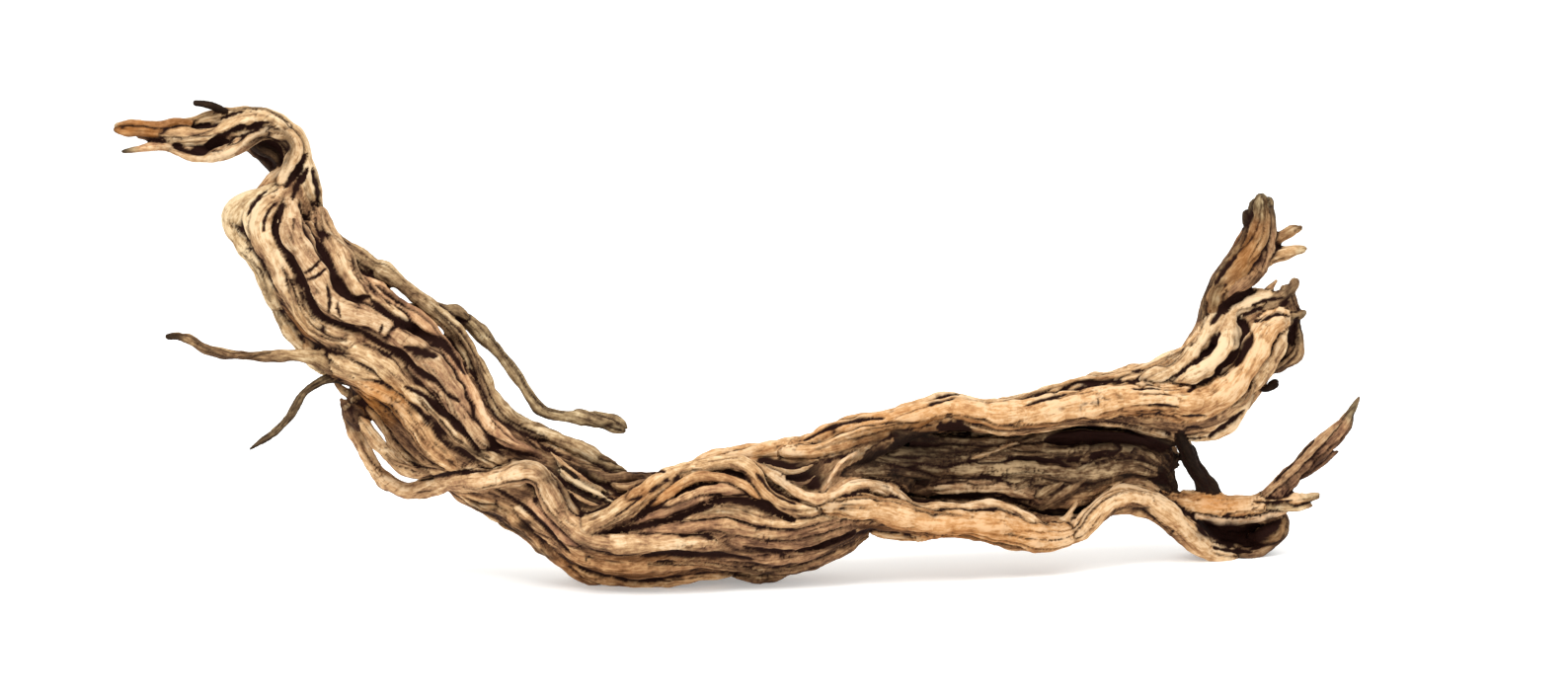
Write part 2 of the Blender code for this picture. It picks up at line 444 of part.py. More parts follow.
def core(name, rows, collection):
    """A core lofted through its elliptical sections, each square to the core's run."""
    rows = along(rows, CORE_STEP)
    run = np.gradient(rows[:, :2], axis=0)
    run /= np.hypot(*run.T)[:, None]
    bm = bmesh.new()
    rings = []
    for (across, up, depth, half, half_depth), (run_x, run_y) in zip(rows, run):
        ring = []
        for side in range(CORE_SIDES):
            turn = 2 * math.pi * side / CORE_SIDES
            out = half * math.cos(turn)
            ring.append(bm.verts.new(seen_point(
                across - run_y * out, up + run_x * out, depth + half_depth * math.sin(turn))))
        rings.append(ring)
    for ring, following in zip(rings, rings[1:]):
        for side in range(CORE_SIDES):
            beside = (side + 1) % CORE_SIDES
            bm.faces.new((ring[side], following[side], following[beside], ring[beside]))
    bm.faces.new(rings[0])
    bm.faces.new(list(reversed(rings[-1])))
    bmesh.ops.recalc_face_normals(bm, faces=bm.faces)
    mesh = bpy.data.meshes.new(name)
    bm.to_mesh(mesh)
    bm.free()
    return link(bpy.data.objects.new(name, mesh), collection)


def back_strand_rows(rows, angle, wave, radius):
    """A strand that winds slowly along the back of a core at about one angle."""
    rows = along(rows, BACK_STRAND_STEP)
    run = np.gradient(rows[:, :2], axis=0)
    run /= np.hypot(*run.T)[:, None]
    share = np.linspace(0, 1, len(rows))
    sway = np.sin(2 * math.pi * (share * BACK_SWAY_WAVES + wave))
    swell = np.sin(2 * math.pi * (share * BACK_SWELL_WAVES + wave * BACK_SWELL_SHIFT))
    turn = np.radians(angle) + BACK_SWAY * sway
    thick = radius * (BACK_SWELL_MEAN + BACK_SWELL * swell)
    thick = np.minimum(thick, BACK_WIDEST * rows[:, 3])
    out = (rows[:, 3] - BACK_SINK * thick) * np.cos(turn)
    back = -(rows[:, 4] - BACK_SINK * thick) * np.sin(turn)
    return np.column_stack([
        rows[:, 0] - run[:, 1] * out, rows[:, 1] + run[:, 0] * out, thick, rows[:, 2] + back])


def back_strands(collection):
    """Strands on the unseen side, set by a rule round each core."""
    draw = np.random.default_rng(SEED)
    made = []
    for name, rows, first, last, count in BACK_RULES:
        for number, angle in enumerate(np.linspace(first, last, count)):
            path = back_strand_rows(rows, angle, draw.random(), BACK_STRAND_RADIUS)
            made.append(strand(f"{name}_back_{number}", path, collection))
    return made


def apply_modifiers(obj):
    """Replaces the object's mesh by its evaluated one."""
    bpy.context.view_layer.update()
    graph = bpy.context.evaluated_depsgraph_get()
    mesh = bpy.data.meshes.new_from_object(obj.evaluated_get(graph))
    obj.modifiers.clear()
    obj.data = mesh


def join_strands(body, collection):
    """Joins everything in the collection to the body, and removes the joined objects."""
    union = body.modifiers.new("join", "BOOLEAN")
    union.operation = "UNION"
    union.operand_type = "COLLECTION"
    union.collection = collection
    union.solver = "MANIFOLD"
    apply_modifiers(body)
    for obj in list(collection.objects):
        bpy.data.objects.remove(obj)
    bpy.data.collections.remove(collection)


def plane_rests(body, collection):
    """Planes the lowest spots flat, so that the wood rests on z = 0."""
    bpy.ops.mesh.primitive_cube_add(size=1.0)
    block = bpy.context.active_object
    block.name = "floor_cut"
    block.data.transform(Matrix.Diagonal((*FLOOR_CUT_SIZE, 1.0)))
    block.location = (0, 0, -FLOOR_CUT_SIZE[2] / 2)
    block.hide_render = True
    block.display_type = "WIRE"
    for owner in list(block.users_collection):
        owner.objects.unlink(block)
    collection.objects.link(block)
    cut = body.modifiers.new("rests", "BOOLEAN")
    cut.operation = "DIFFERENCE"
    cut.object = block
    cut.solver = "MANIFOLD"
    apply_modifiers(body)


def keep_outer_body(mesh):
    """Drops loose scraps and sealed pockets, and keeps the one outer body."""
    bm = bmesh.new()
    bm.from_mesh(mesh)
    left = set(bm.verts)
    bodies = []
    while left:
        stack = [left.pop()]
        body = []
        while stack:
            vert = stack.pop()
            body.append(vert)
            for edge in vert.link_edges:
                other = edge.other_vert(vert)
                if other in left:
                    left.remove(other)
                    stack.append(other)
        bodies.append(body)
    bodies.sort(key=len)
    for body in bodies[:-1]:
        bmesh.ops.delete(bm, geom=body, context="VERTS")
    bm.to_mesh(mesh)
    bm.free()


def weathered_wood():
    """Bare wood, tanned by sun and water."""
    material = bpy.data.materials.new("weathered_wood")
    material.use_nodes = True
    shader = material.node_tree.nodes["Principled BSDF"]
    shader.inputs["Base Color"].default_value = WOOD_COLOR
    shader.inputs["Roughness"].default_value = WOOD_ROUGHNESS
    shader.inputs["Metallic"].default_value = 0.0
    return material


def driftwood(collection, cutters):
    """The whole piece: its cores and strands joined to one body and planed at its rests."""
    parts = bpy.data.collections.new("strands")
    bpy.context.scene.collection.children.link(parts)
    body = core("driftwood", TRUNK_CORE, collection)
    for number, rows in enumerate(CORES[1:]):
        core(f"core_{number}", rows, parts)
    for name, (proud, rows) in LYING_STRANDS.items():
        strand(name, lay_on_cores(rows, proud), parts)
    for name, rows in FREE_STRANDS.items():
        strand(name, rows, parts)
    back_strands(parts)
    join_strands(body, parts)
    plane_rests(body, cutters)
    keep_outer_body(body.data)
    body.data.materials.clear()
    body.data.materials.append(weathered_wood())
    body.data.shade_smooth()
    body.data.set_sharp_from_angle(angle=SHARP_ANGLE)
    return body


def main():
    for obj in list(bpy.data.objects):
        bpy.data.objects.remove(obj)
    collection = bpy.data.collections.new("driftwood_piece")
    cutters = bpy.data.collections.new("cutters")
    bpy.context.scene.collection.children.link(collection)
    bpy.context.scene.collection.children.link(cutters)
    driftwood(collection, cutters)


main()
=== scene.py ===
# A piece of driftwood: one twisted, ropy length of bare vine wood on a pale floor.
#
# Every strand of the wood is placed by the point where it is seen from the front, in
# millimetres across and up, and by its depth. The skin is then one voxel surface over all
# strands of a stretch, and the grain is worked out along and round each strand.

import math

import bpy
import numpy as np
from mathutils import Matrix, Vector


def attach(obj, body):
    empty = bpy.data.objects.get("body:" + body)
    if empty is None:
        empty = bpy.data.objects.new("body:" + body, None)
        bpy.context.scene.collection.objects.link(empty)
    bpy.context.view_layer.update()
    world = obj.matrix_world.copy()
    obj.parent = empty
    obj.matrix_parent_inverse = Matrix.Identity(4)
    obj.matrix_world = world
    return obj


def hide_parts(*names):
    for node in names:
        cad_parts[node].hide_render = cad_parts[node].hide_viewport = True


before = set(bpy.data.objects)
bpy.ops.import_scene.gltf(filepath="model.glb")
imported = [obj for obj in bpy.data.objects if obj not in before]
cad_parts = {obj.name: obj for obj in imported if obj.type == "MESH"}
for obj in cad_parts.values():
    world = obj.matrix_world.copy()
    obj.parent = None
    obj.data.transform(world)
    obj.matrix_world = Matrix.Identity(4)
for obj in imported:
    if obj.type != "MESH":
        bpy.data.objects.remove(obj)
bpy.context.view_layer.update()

# The camera's place. The strands are measured in the plane that faces it, across and up.
view = {
    "distance": 2.2,  # metres from the eye to that plane
    "elevation": math.radians(11.0),
    "centre": (0.024, 0.12175),  # metres across and up, in the middle of the picture
    "origin": (0.0079, 0.0267, 0.0006),  # metres from the strands' measure to the frame
    "pictureWidth": 0.794,  # metres of the plane that the picture spans
    "sensorWidth": 36.0,  # mm
    "farEnd": 10.0,  # metres
}


def sightAxes():
    # the eye, and the picture's up and forward directions: eye = middle - forward * distance
    tilt, (across, up) = view["elevation"], view["centre"]
    upward = np.array([0, math.sin(tilt), math.cos(tilt)])
    forward = np.array([0, math.cos(tilt), -math.sin(tilt)])
    return np.array([across, 0, 0]) + upward * up - forward * view["distance"], upward, forward


def pictureCamera():
    # looks forward from the eye; lens / sensor width = distance / the picture's width at the plane
    eye, upward, forward = sightAxes()
    lens = bpy.data.cameras.new("pictureCamera")
    lens.sensor_width = view["sensorWidth"]
    lens.lens = view["sensorWidth"] * view["distance"] / view["pictureWidth"]
    lens.clip_end = view["farEnd"]
    camera = bpy.data.objects.new("pictureCamera", lens)
    bpy.context.scene.collection.objects.link(camera)
    turned = np.column_stack([(1, 0, 0), upward, -forward, eye - np.array(view["origin"])])
    camera.matrix_world = Matrix([*turned.tolist(), (0, 0, 0, 1)])
    bpy.context.scene.camera = camera


pictureCamera()
print("camera set")

# Cores: across, up, depth, half width, half depth.
cores = {
    "trunk": [
        (-222, 214, 14, 7, 7), (-223, 204, 12, 9.5, 10), (-232, 190, 10, 18, 15),
        (-226, 172, 8, 19, 18), (-207, 149, 6, 22, 20), (-185, 128, 5, 25, 22), (-160, 102, 4, 26, 23),
        (-138, 76, 3, 25, 24), (-108, 55, 4, 22, 24), (-80, 40, 5, 25, 26), (-50, 32, 6, 26, 27),
        (-20, 36, 8, 27, 27), (10, 40, 11, 30, 27), (40, 46, 15, 29, 26), (64, 56, 20, 24, 22),
        (82, 62, 25, 14, 16)],
    "upper": [
        (38, 60, 16, 12, 20), (70, 76, 18, 9, 18), (100, 88, 24, 7.5, 17), (130, 88, 30, 7.5, 17),
        (160, 92, 36, 9.5, 17), (190, 96, 43, 12, 18), (213, 98, 49, 18, 19), (236, 102, 54, 20, 18),
        (252, 116, 58, 18, 16), (265, 130, 61, 16, 13), (276, 142, 63, 9, 9)],
    "lower": [
        (36, 38, 14, 14, 22), (70, 41, 18, 10, 20), (100, 37, 24, 9, 16), (130, 35, 31, 10, 15),
        (156, 30, 38, 9, 13), (178, 36, 44, 5, 11), (197, 47, 50, 5.5, 10), (215, 43, 58, 6.5, 11),
        (228, 33, 65, 7, 12), (243, 22, 72, 5.5, 12), (258, 19, 75, 3.5, 9)],
    "heart": [
        (55, 60, 28, 14, 16), (80, 64, 32, 18, 16), (110, 63, 38, 21, 16), (140, 60, 44, 21, 16),
        (170, 61, 50, 22, 15), (195, 68, 54, 17, 13), (210, 67, 57, 12, 9), (220, 64, 60, 8, 6)],
    "hook": [
        (-222, 206, 13, 8, 8), (-222, 218, 15, 6.5, 7), (-226, 228, 16, 6, 7), (-236, 234, 16, 5.5, 6),
        (-250, 234, 14, 5, 5.5), (-264, 231, 12, 4.5, 5), (-280, 230, 10, 3.5, 4),
        (-296, 232, 8, 2.5, 3)],
    "backLimb": [
        (226, 114, 56, 7, 9), (238, 130, 60, 7, 10), (243, 145, 63, 8, 10), (250, 158, 65, 9, 11),
        (259, 171, 66, 9, 10), (264, 184, 66, 7, 7), (265, 197, 66, 5, 4.5)],
}

# Strands that lie on the cores: how far they stand proud, then across, up, radius.
lyingStrands = {
    "shoulder": (0, [
        (-229, 208, 4), (-237, 202, 5), (-246.5, 196, 6), (-253.5, 188.5, 7.3), (-249, 178, 6.7),
        (-243.5, 170, 6), (-239, 161, 6), (-234.5, 151, 6), (-230.5, 142, 6), (-225, 132, 6),
        (-217, 123, 6), (-210, 114, 5.5), (-203, 106, 4.5)]),
    "shoulderInner": (1, [
        (-229, 203, 4), (-236, 196, 5.5), (-241, 188, 6.5), (-239, 178, 6), (-233, 168, 5.5),
        (-228, 159, 5.5), (-224, 150, 5.5), (-220, 142, 5.5), (-214, 135, 5), (-206, 129, 5),
        (-197, 127, 4.5), (-188, 123, 4)]),
    "pod": (1, [
        (-224, 203, 4), (-226, 196, 5.5), (-226, 188, 7), (-225, 180, 8), (-221, 172, 8),
        (-216, 164, 8), (-211, 156, 8), (-207, 149, 8), (-200, 143, 7), (-191, 140, 6), (-182, 136, 5),
        (-173, 131, 4.5), (-164, 127, 4)]),
    "armRight": (0, [
        (-217, 203, 3.6), (-213.6, 194, 4.6), (-210.4, 185, 5.5), (-205.6, 177, 5.8), (-201, 169, 6),
        (-197, 161, 6.5), (-192, 153, 6), (-185, 147, 5), (-177, 141, 4.5), (-168, 134, 4.5),
        (-158, 129, 4)]),
    "edgeUpper": (0, [
        (-202, 181, 3.4), (-194.5, 172.5, 4), (-185.5, 166, 4.4), (-176, 160, 4.6), (-167, 153, 4.6),
        (-158, 146, 4.5), (-149.5, 138, 4.5), (-142, 130, 4.5), (-135.5, 120.5, 4.6),
        (-130.5, 110.5, 4.6), (-126, 101, 4.6), (-120.5, 92, 4.6), (-112.5, 85.5, 4.6),
        (-102.5, 81, 4.6), (-91.5, 77.5, 4.6), (-81, 73, 4.6), (-72, 67.5, 4.2), (-62, 62, 3.6),
        (-51, 58, 3)]),
    "edgeInner": (2, [
        (-194, 162, 3.5), (-185, 155, 4), (-176, 148, 4.5), (-167, 141, 4.5), (-158, 133, 4.5),
        (-150, 124, 4.5), (-143, 114, 4.5), (-138, 104, 4.5), (-133, 94, 4.5), (-127, 85, 4),
        (-119, 78, 4), (-109, 73, 3.5), (-99, 69, 3)]),
    "podLower": (1, [
        (-182, 138, 4), (-174, 130, 5.5), (-166, 124, 6.5), (-158, 117, 7.5), (-151, 109, 8),
        (-145, 101, 7.5), (-140, 92, 6.5), (-135, 83, 5.5), (-128, 75, 4.5), (-119, 68, 4)]),
    "armLower": (0, [
        (-204, 121, 5), (-194, 121, 5.5), (-184, 117, 5.5), (-175, 111, 5.5), (-167, 104, 5.5),
        (-160, 97, 5), (-153, 91, 4.5), (-146, 85, 4.5), (-139, 77, 4.5), (-131, 70, 4), (-121, 65, 4),
        (-110, 62, 3.5)]),
    "armKnot": (1, [
        (-215, 121.5, 3.5), (-208, 116, 4.6), (-199, 111, 5.6), (-189.5, 107, 6), (-180, 102, 6),
        (-171, 96, 6), (-164, 88, 5.5), (-158.5, 79, 5), (-153, 71, 4.5), (-145, 65, 4.5),
        (-135, 60, 4.5)]),
    "armEdge": (0, [
        (-203, 105, 4.5), (-196, 99, 5), (-188, 95, 5.5), (-181, 89, 5.5), (-176, 81, 5),
        (-171.5, 73, 4.5), (-165, 66.5, 4), (-156, 62.5, 4), (-146, 61, 4), (-136, 58, 4)]),
    "loopToBelly": (3, [
        (-200, 97, 4), (-197, 89, 4.5), (-193.5, 80, 4.5), (-189, 72, 4.5), (-184, 64, 4.5),
        (-178, 56, 4.5), (-171, 51, 5), (-161, 51, 5), (-150, 54, 5), (-139, 56, 5.5),
        (-127, 56.5, 5.5), (-116, 58.5, 5.5), (-106, 61, 5.5), (-99, 57.5, 5.5), (-95, 50, 5.5),
        (-91, 42, 5.5), (-85, 35, 5.3), (-78, 29, 5.2), (-69, 25, 5), (-57, 23.5, 4.6),
        (-44, 23.5, 4.4), (-30, 24, 4.4), (-16, 24, 4), (-4, 22, 3.2)]),
    "bellyOuter": (0, [
        (-147, 52, 3.5), (-135, 48.5, 4.5), (-122.5, 45, 5), (-112, 39.5, 5.3), (-104.5, 33, 5.3),
        (-98, 26, 5.3), (-91, 18.5, 5), (-83.5, 12.5, 5), (-74, 8, 5), (-62, 5.8, 5), (-49, 5.3, 5),
        (-36, 6.7, 5), (-22, 9, 4.6), (-8, 9.6, 4.2), (4, 9, 3.8)]),
    "bellyMiddle": (0, [
        (-119, 48, 4.5), (-110, 42.5, 5), (-102, 36, 5), (-94, 30, 5), (-87, 24, 5), (-79, 19, 5),
        (-69, 15.5, 5), (-57, 13.8, 4.6), (-44, 14, 4.2), (-30, 14.5, 3.8), (-16, 14.5, 3.6),
        (-4, 13.2, 3.8), (8, 12, 4), (20, 12, 4), (33, 14, 4), (46, 18.5, 4), (57, 24, 4),
        (66, 29.5, 3.5)]),
    "bellyPink": (2, [
        (-105, 49, 4), (-101, 42, 4.5), (-95, 36, 4.5), (-89, 30.5, 4.2), (-83, 26, 4),
        (-76, 21.5, 3.6)]),
    "bellyFold": (1, [
        (-16, 20, 2.5), (-5, 19, 3), (6, 17.5, 3.5), (17, 17, 3.6), (28, 18, 3.6), (39, 21, 3.6),
        (50, 25.5, 3.5), (60, 30, 3.5), (69, 34.5, 3)]),
    "bellyLow": (0, [
        (-7, 9.5, 3), (5, 8.3, 3.6), (16, 8.5, 4), (27, 10.5, 4), (38, 14, 4), (48, 18, 4),
        (58, 23, 3.6), (67, 27.5, 3)]),
    "archOuter": (2, [
        (-96, 30, 3.5), (-88, 30, 4.4), (-80, 31, 5), (-72, 33.5, 5.2), (-64, 37, 5.4),
        (-57, 41.2, 5.5), (-50, 46, 5.5), (-43, 51, 5.5), (-36, 56, 5), (-28, 60.5, 4.6),
        (-18, 63, 4.5), (-7, 64.5, 4.5), (3, 63.5, 4.4), (9, 58.5, 4), (13, 52, 3.6), (19, 46, 3.6),
        (28, 42, 4), (38, 41, 4.5), (49, 42.5, 5)]),
    "archRim": (1, [
        (-47, 41, 2.2), (-38, 47, 2.4), (-29, 53, 2.4), (-21, 57.5, 2.5), (-12, 57.8, 2.5),
        (-3, 56, 2.5), (5, 52.5, 2.4), (11, 47, 2.2), (18, 42.5, 2)]),
    "archMiddle": (0, [
        (-46, 37, 2.4), (-36, 41.5, 2.6), (-26, 46.5, 2.6), (-17, 50.5, 2.6), (-8, 51.5, 2.6),
        (1, 50.5, 2.4), (8, 46.5, 2.2)]),
    "underArch": (1, [
        (-27, 34.5, 2), (-19, 38, 2.4), (-10, 40, 2.5), (0, 39, 2.5), (9, 36, 2.5), (19, 34, 2.6),
        (30, 34, 2.7), (42, 36.5, 2.7), (53, 39, 2.6)]),
    "underArchLow": (0, [
        (-52, 28.5, 2.4), (-40, 30.5, 2.6), (-28, 31.5, 2.7), (-16, 33.5, 2.8), (-5, 33.5, 2.9),
        (6, 30.5, 3), (18, 29, 3.2), (30, 29.5, 3.2), (42, 32, 3.2), (54, 35, 3.2), (65, 38, 3)]),
    "underArchBrown": (0, [
        (-12, 28, 2.4), (-2, 26.5, 2.8), (9, 24.5, 3), (20, 24, 3.2), (31, 24.5, 3.2), (43, 28, 3.2),
        (55, 32, 3.2), (67, 35, 2.8)]),
    "lowerLip": (3, [
        (34, 41.5, 4), (47, 43, 5.2), (60, 43.5, 5.8), (72, 42, 6), (84, 38, 6.2), (97, 35, 6.6),
        (111, 34.3, 7), (125, 33, 7.3), (138, 30.5, 7.3), (150, 27.5, 6.8), (161, 26.5, 6.2),
        (171, 29, 5.6), (178, 35, 5.2)]),
    "lipLow": (-2, [
        (64, 30.5, 3), (79, 28, 3.6), (94, 29, 3.6), (109, 30, 3.4), (122, 28, 3.6), (135, 25.3, 3.9),
        (147, 22.8, 3.8), (159, 22.3, 3.6), (172, 26.5, 3)]),
    "footRope": (2, [
        (152, 27, 5), (163, 26, 5.2), (172, 29, 5.2), (178, 35, 5), (183, 41, 5), (190, 46, 5),
        (199, 49, 5), (207, 47.5, 5.5), (214, 43, 6), (221, 37, 6.3), (227, 30.5, 6.3), (234, 24, 5.8),
        (242, 18.8, 5), (252, 17.3, 4.2), (262, 18.6, 3.4)]),
    "footUpper": (2, [
        (176, 37, 3), (182, 43.5, 3.4), (189, 49, 3.5), (197, 52.5, 3.6), (206, 53, 3.6),
        (214, 49.5, 3.5), (223, 47, 3.4)]),
    "footUnder": (0, [
        (183, 35, 3), (190, 39.7, 3.2), (198, 42, 3.4), (206, 40.5, 3.6), (214, 36, 4), (222, 30.5, 4),
        (230, 24, 4), (238, 19, 4), (247, 17, 3)]),
    "pocketRim": (2, [
        (8, 66.5, 2.2), (14, 61.5, 2.6), (21, 56.5, 2.8), (29, 51, 3), (37, 46.5, 3), (46, 46.5, 3.1),
        (54, 51, 3.2), (63, 53.7, 3.2), (73, 53, 3.1), (81, 49, 3.1), (87, 43.5, 3.1), (96, 41.5, 3),
        (107, 42, 2.8), (118, 42, 2.6), (128, 43.5, 2.7), (137, 41.5, 3), (146, 37.5, 3.2),
        (154, 33, 3), (162, 30, 2.5)]),
    "topMass": (1, [
        (-26, 63, 3), (-14, 67, 4), (-1, 68.7, 4.5), (12, 70.5, 5), (25, 72, 5.5), (38, 75, 6),
        (50, 79, 6.5), (62, 82, 6.5), (74, 84.5, 6), (86, 88, 5.5), (98, 91, 5.5), (110, 93, 5.8),
        (122, 90.5, 6.2), (136, 88.5, 6.8), (150, 90, 7), (164, 93, 7), (178, 95, 7.5), (192, 97, 8),
        (206, 98, 8.5), (220, 96.5, 9), (232, 95, 9), (243, 98.5, 8.6), (252, 106, 8), (259, 115, 7.5),
        (264, 124, 7), (269, 132.5, 6.5), (277, 138.5, 5), (285, 140, 3.2)]),
    "topMassLow": (0, [
        (12, 69.5, 3), (26, 70, 3.6), (38, 70.6, 4), (48, 73.2, 4.4), (58, 76.6, 4.4), (68, 79.6, 4),
        (79, 82.6, 3.4), (90, 85.2, 2.8), (101, 87.5, 2.2)]),
    "lipTop": (0, [
        (40, 79.5, 2.4), (52, 84.5, 3), (64, 87, 3), (76, 89, 3), (88, 92, 3.2), (100, 95.5, 3.4),
        (111, 97, 3.6), (122, 95, 3.6), (135, 94, 3.8), (148, 96.5, 3.8), (160, 100.5, 4),
        (172, 103.5, 4.2), (184, 105, 4.4), (196, 107, 4.6), (207, 110.5, 4.8), (217.5, 114.5, 5),
        (227, 120, 5), (235.5, 127.5, 5.2), (241.5, 136, 5.6)]),
    "lipUnder": (0, [
        (80, 83, 2.4), (91, 86, 2.6), (103, 88, 2.8), (113, 87, 3.4), (124, 83.5, 3.6),
        (138, 81.7, 3.6), (152, 82.7, 3.6), (166, 85, 3.6), (180, 86, 3.4), (194, 85.3, 3.4),
        (206, 82.5, 3.4), (217, 79.5, 3.6), (228, 78.3, 3.8), (239, 79, 4), (248, 82.5, 4.2),
        (254, 89.5, 4.2), (260, 97.5, 3.8), (265, 105, 3.5)]),
    "forkRibOuter": (1, [
        (196, 102.5, 4.2), (208, 106, 4.8), (219, 110.5, 5), (228, 117, 5), (235, 124.5, 4.8),
        (240.5, 132, 4.6), (245, 139.5, 4.6), (251, 145.5, 4.6), (260, 150, 4.4), (270, 152, 4)]),
    "forkRibMiddle": (3, [
        (216, 103, 4), (229, 107.5, 5), (239.5, 114, 5.2), (247, 121, 5.2), (249.2, 128, 5),
        (248.6, 135.5, 4.7), (253, 143, 5), (262, 147.5, 5), (272, 149, 5), (280, 149.5, 4)]),
    "forkEdge": (0, [
        (238, 86, 5), (248, 92, 5.4), (256, 100, 5.4), (263.5, 109, 5.4), (270, 118, 5.4),
        (276, 127, 5), (280.5, 136, 4)]),
    "limbRib": (1, [
        (239, 134, 4), (241.5, 143, 5), (244, 152, 5.5), (249.5, 160, 6), (256, 168, 6.5),
        (262, 177, 6), (264.5, 187, 5.4), (265, 197, 4.6)]),
    "limbFront": (2, [
        (243, 141, 4), (248, 149, 5), (255, 156, 5.6), (262, 162, 5.6), (267, 169, 5), (269.5, 177, 4),
        (270.5, 186, 3), (270, 193, 2.4)]),
    "heartLow": (0, [
        (88, 49.5, 3), (98, 51.5, 4), (110, 52.5, 4.5), (124, 52.5, 4.5), (138, 51.5, 4.5),
        (150, 48, 4), (159, 43, 3.4)]),
    "heartBand": (0, [
        (78, 63.5, 2.8), (91, 63, 3.4), (104, 62, 3.9), (118, 61.5, 4.5), (133, 61, 5), (148, 60.5, 5),
        (162, 59.5, 4.6), (176, 59, 4.2), (190, 61, 4.2), (202, 62.5, 4), (211, 59.5, 3.8),
        (217.5, 53.5, 3.4)]),
    "heartTop": (0, [
        (66, 68, 3.4), (79, 69.5, 4.2), (92, 70, 4.4), (105, 70.5, 4), (118, 71, 3.6), (132, 71.5, 3.4),
        (146, 71, 3.4), (160, 70.5, 3.8), (174, 71, 4), (188, 72.5, 4), (200, 71.5, 4),
        (210, 67.5, 3.6), (217, 61, 3)]),
    "hookOuter": (0, [
        (-208, 189, 4), (-213, 199, 4.5), (-216, 209, 4.8), (-219.5, 220, 5), (-225, 230.5, 5),
        (-233, 237.5, 4.8), (-243, 240.3, 4.5), (-254, 240.8, 4.2), (-265, 239.3, 3.8),
        (-276, 237, 3.6), (-287, 234.5, 3.6), (-298, 233.6, 4), (-307, 234.6, 4), (-314, 235, 2.4)]),
    "hookWrap": (3, [
        (-234.5, 203, 4.2), (-229.4, 210, 4), (-224.2, 219, 3.9), (-223.3, 228, 4), (-232, 232.5, 4.3),
        (-241, 234.6, 4), (-251, 234, 3.8), (-261, 232, 3.4), (-271, 231, 3.2), (-281, 231.3, 3),
        (-291, 231, 2.4)]),
    # fine strands that show in the pockets, the hollow and along the folds
    "pocketThread": (0, [
        (-92, 66, 1.3), (-88, 60, 1.3), (-82, 55, 1.4), (-75, 51, 1.4), (-68, 48, 1.3),
        (-62, 45, 1.2)]),
    "pocketRoot": (0, [
        (-80, 62, 2.4), (-72, 58, 2.8), (-62, 56, 3), (-55, 57, 3), (-48, 58, 2.8), (-40, 60, 2.4)]),
    "pocketSmall": (0, [(-80, 57, 1.4), (-72, 53, 1.5), (-65, 50, 1.4)]),
    "pocketShort": (1, [(-65, 55, 2.2), (-58, 52, 2.5), (-50, 54, 2.5), (-42, 57, 2.2)]),
    "archTie": (1, [(-96, 62, 2), (-91, 53, 2.8), (-86.5, 45, 3.1), (-81, 37.5, 3), (-75, 32, 2.2)]),
    "armLowerFill": (1, [
        (-224, 133, 3.6), (-216, 125, 4.8), (-208, 118.5, 5.4), (-199, 114.5, 5.4), (-189, 111.5, 5.2),
        (-179, 107.5, 4.8), (-170, 102, 4.2)]),
    "shoulderFill": (0, [(-238, 198, 2.6), (-244.5, 192, 3.8), (-246, 184, 4), (-241.5, 176, 3.4)]),
    "pocketCross": (2, [(-97, 73, 1), (-90, 66, 1.2), (-83, 61, 1.2), (-76, 56, 1.1), (-70, 52, 1)]),
    "pocketLow": (2, [(-86, 52, 1), (-80, 47, 1.2), (-74, 44, 1.2), (-67, 42.5, 1)]),
    "pocketHigh": (1, [(-92, 74, 1.3), (-83, 71, 1.6), (-74, 68, 1.7), (-65, 66, 1.5), (-57, 64, 1.2)]),
    "heartFibreHigh": (2, [
        (147, 45, 1.3), (156, 50, 1.7), (165, 56, 1.7), (173, 61, 1.4), (181, 64, 1.1)]),
    "heartFibreLow": (2, [
        (154, 41.5, 1.2), (163, 47, 1.6), (171, 53, 1.6), (179, 58, 1.3), (186, 61, 1)]),
    "heartFibreEdge": (1, [(120, 47, 1.3), (130, 48.5, 1.6), (141, 52, 1.7), (151, 57, 1.4)]),
    "heartSplinter": (1, [(66, 79, 1.2), (78, 81, 1.7), (90, 80, 1.8), (101, 78, 1.5), (110, 75, 1.2)]),
    "archPink": (0, [(-50, 35, 2.2), (-40, 39, 2.4), (-30, 42, 2.5), (-20, 46, 2.4), (-10, 47.5, 2.2)]),
    "cupThread": (2, [
        (13, 65.5, 1.1), (22, 61, 1.4), (29.5, 59.7, 1.4), (37.5, 63, 1.3), (43, 66.5, 1)]),
    "cupThreadLow": (2, [(18, 59.5, 1), (25.5, 55.3, 1.3), (34, 54, 1.4), (41, 59, 1.1)]),
    "cupRim": (2, [(9, 57.5, 1.8), (14, 51, 1.9), (20, 46.5, 2), (28, 43.5, 1.8)]),
    "paleTie": (2, [(44, 49.5, 1.1), (46.5, 55, 1.15), (50, 61, 1.3), (54, 66, 1.25), (60, 70, 1.1)]),
    "notchTie": (1, [(164, 34, 1.5), (169, 40, 1.5), (174, 47.5, 1.4)]),
    "fibreTieMiddle": (1, [
        (114, 71, 1.3), (124, 72, 1.7), (134, 73.5, 1.8), (145, 77, 1.5), (154, 80.5, 1.1)]),
    "fibreTieLow": (2, [
        (110, 64, 1.3), (120, 67, 1.7), (130, 70.5, 1.8), (141, 74.5, 1.6), (151, 78, 1.2)]),
    "fibreTie": (1, [(117, 78, 1.2), (125, 74, 1.4), (135, 73, 1.5), (147, 77, 1.4), (155, 79, 1.1)]),
    "heartRidgeRight": (1, [
        (158, 68, 2.4), (170, 69, 3), (182, 72, 3.2), (194, 72, 3.2), (205, 69.5, 3), (213, 65, 2.6),
        (219, 58, 2)]),
    "heartRidgeLeft": (1, [(56, 58, 2.4), (68, 60, 3), (80, 60, 3.2), (92, 58, 3), (104, 57, 2.4)]),
    "heartRidgeMiddle": (1, [
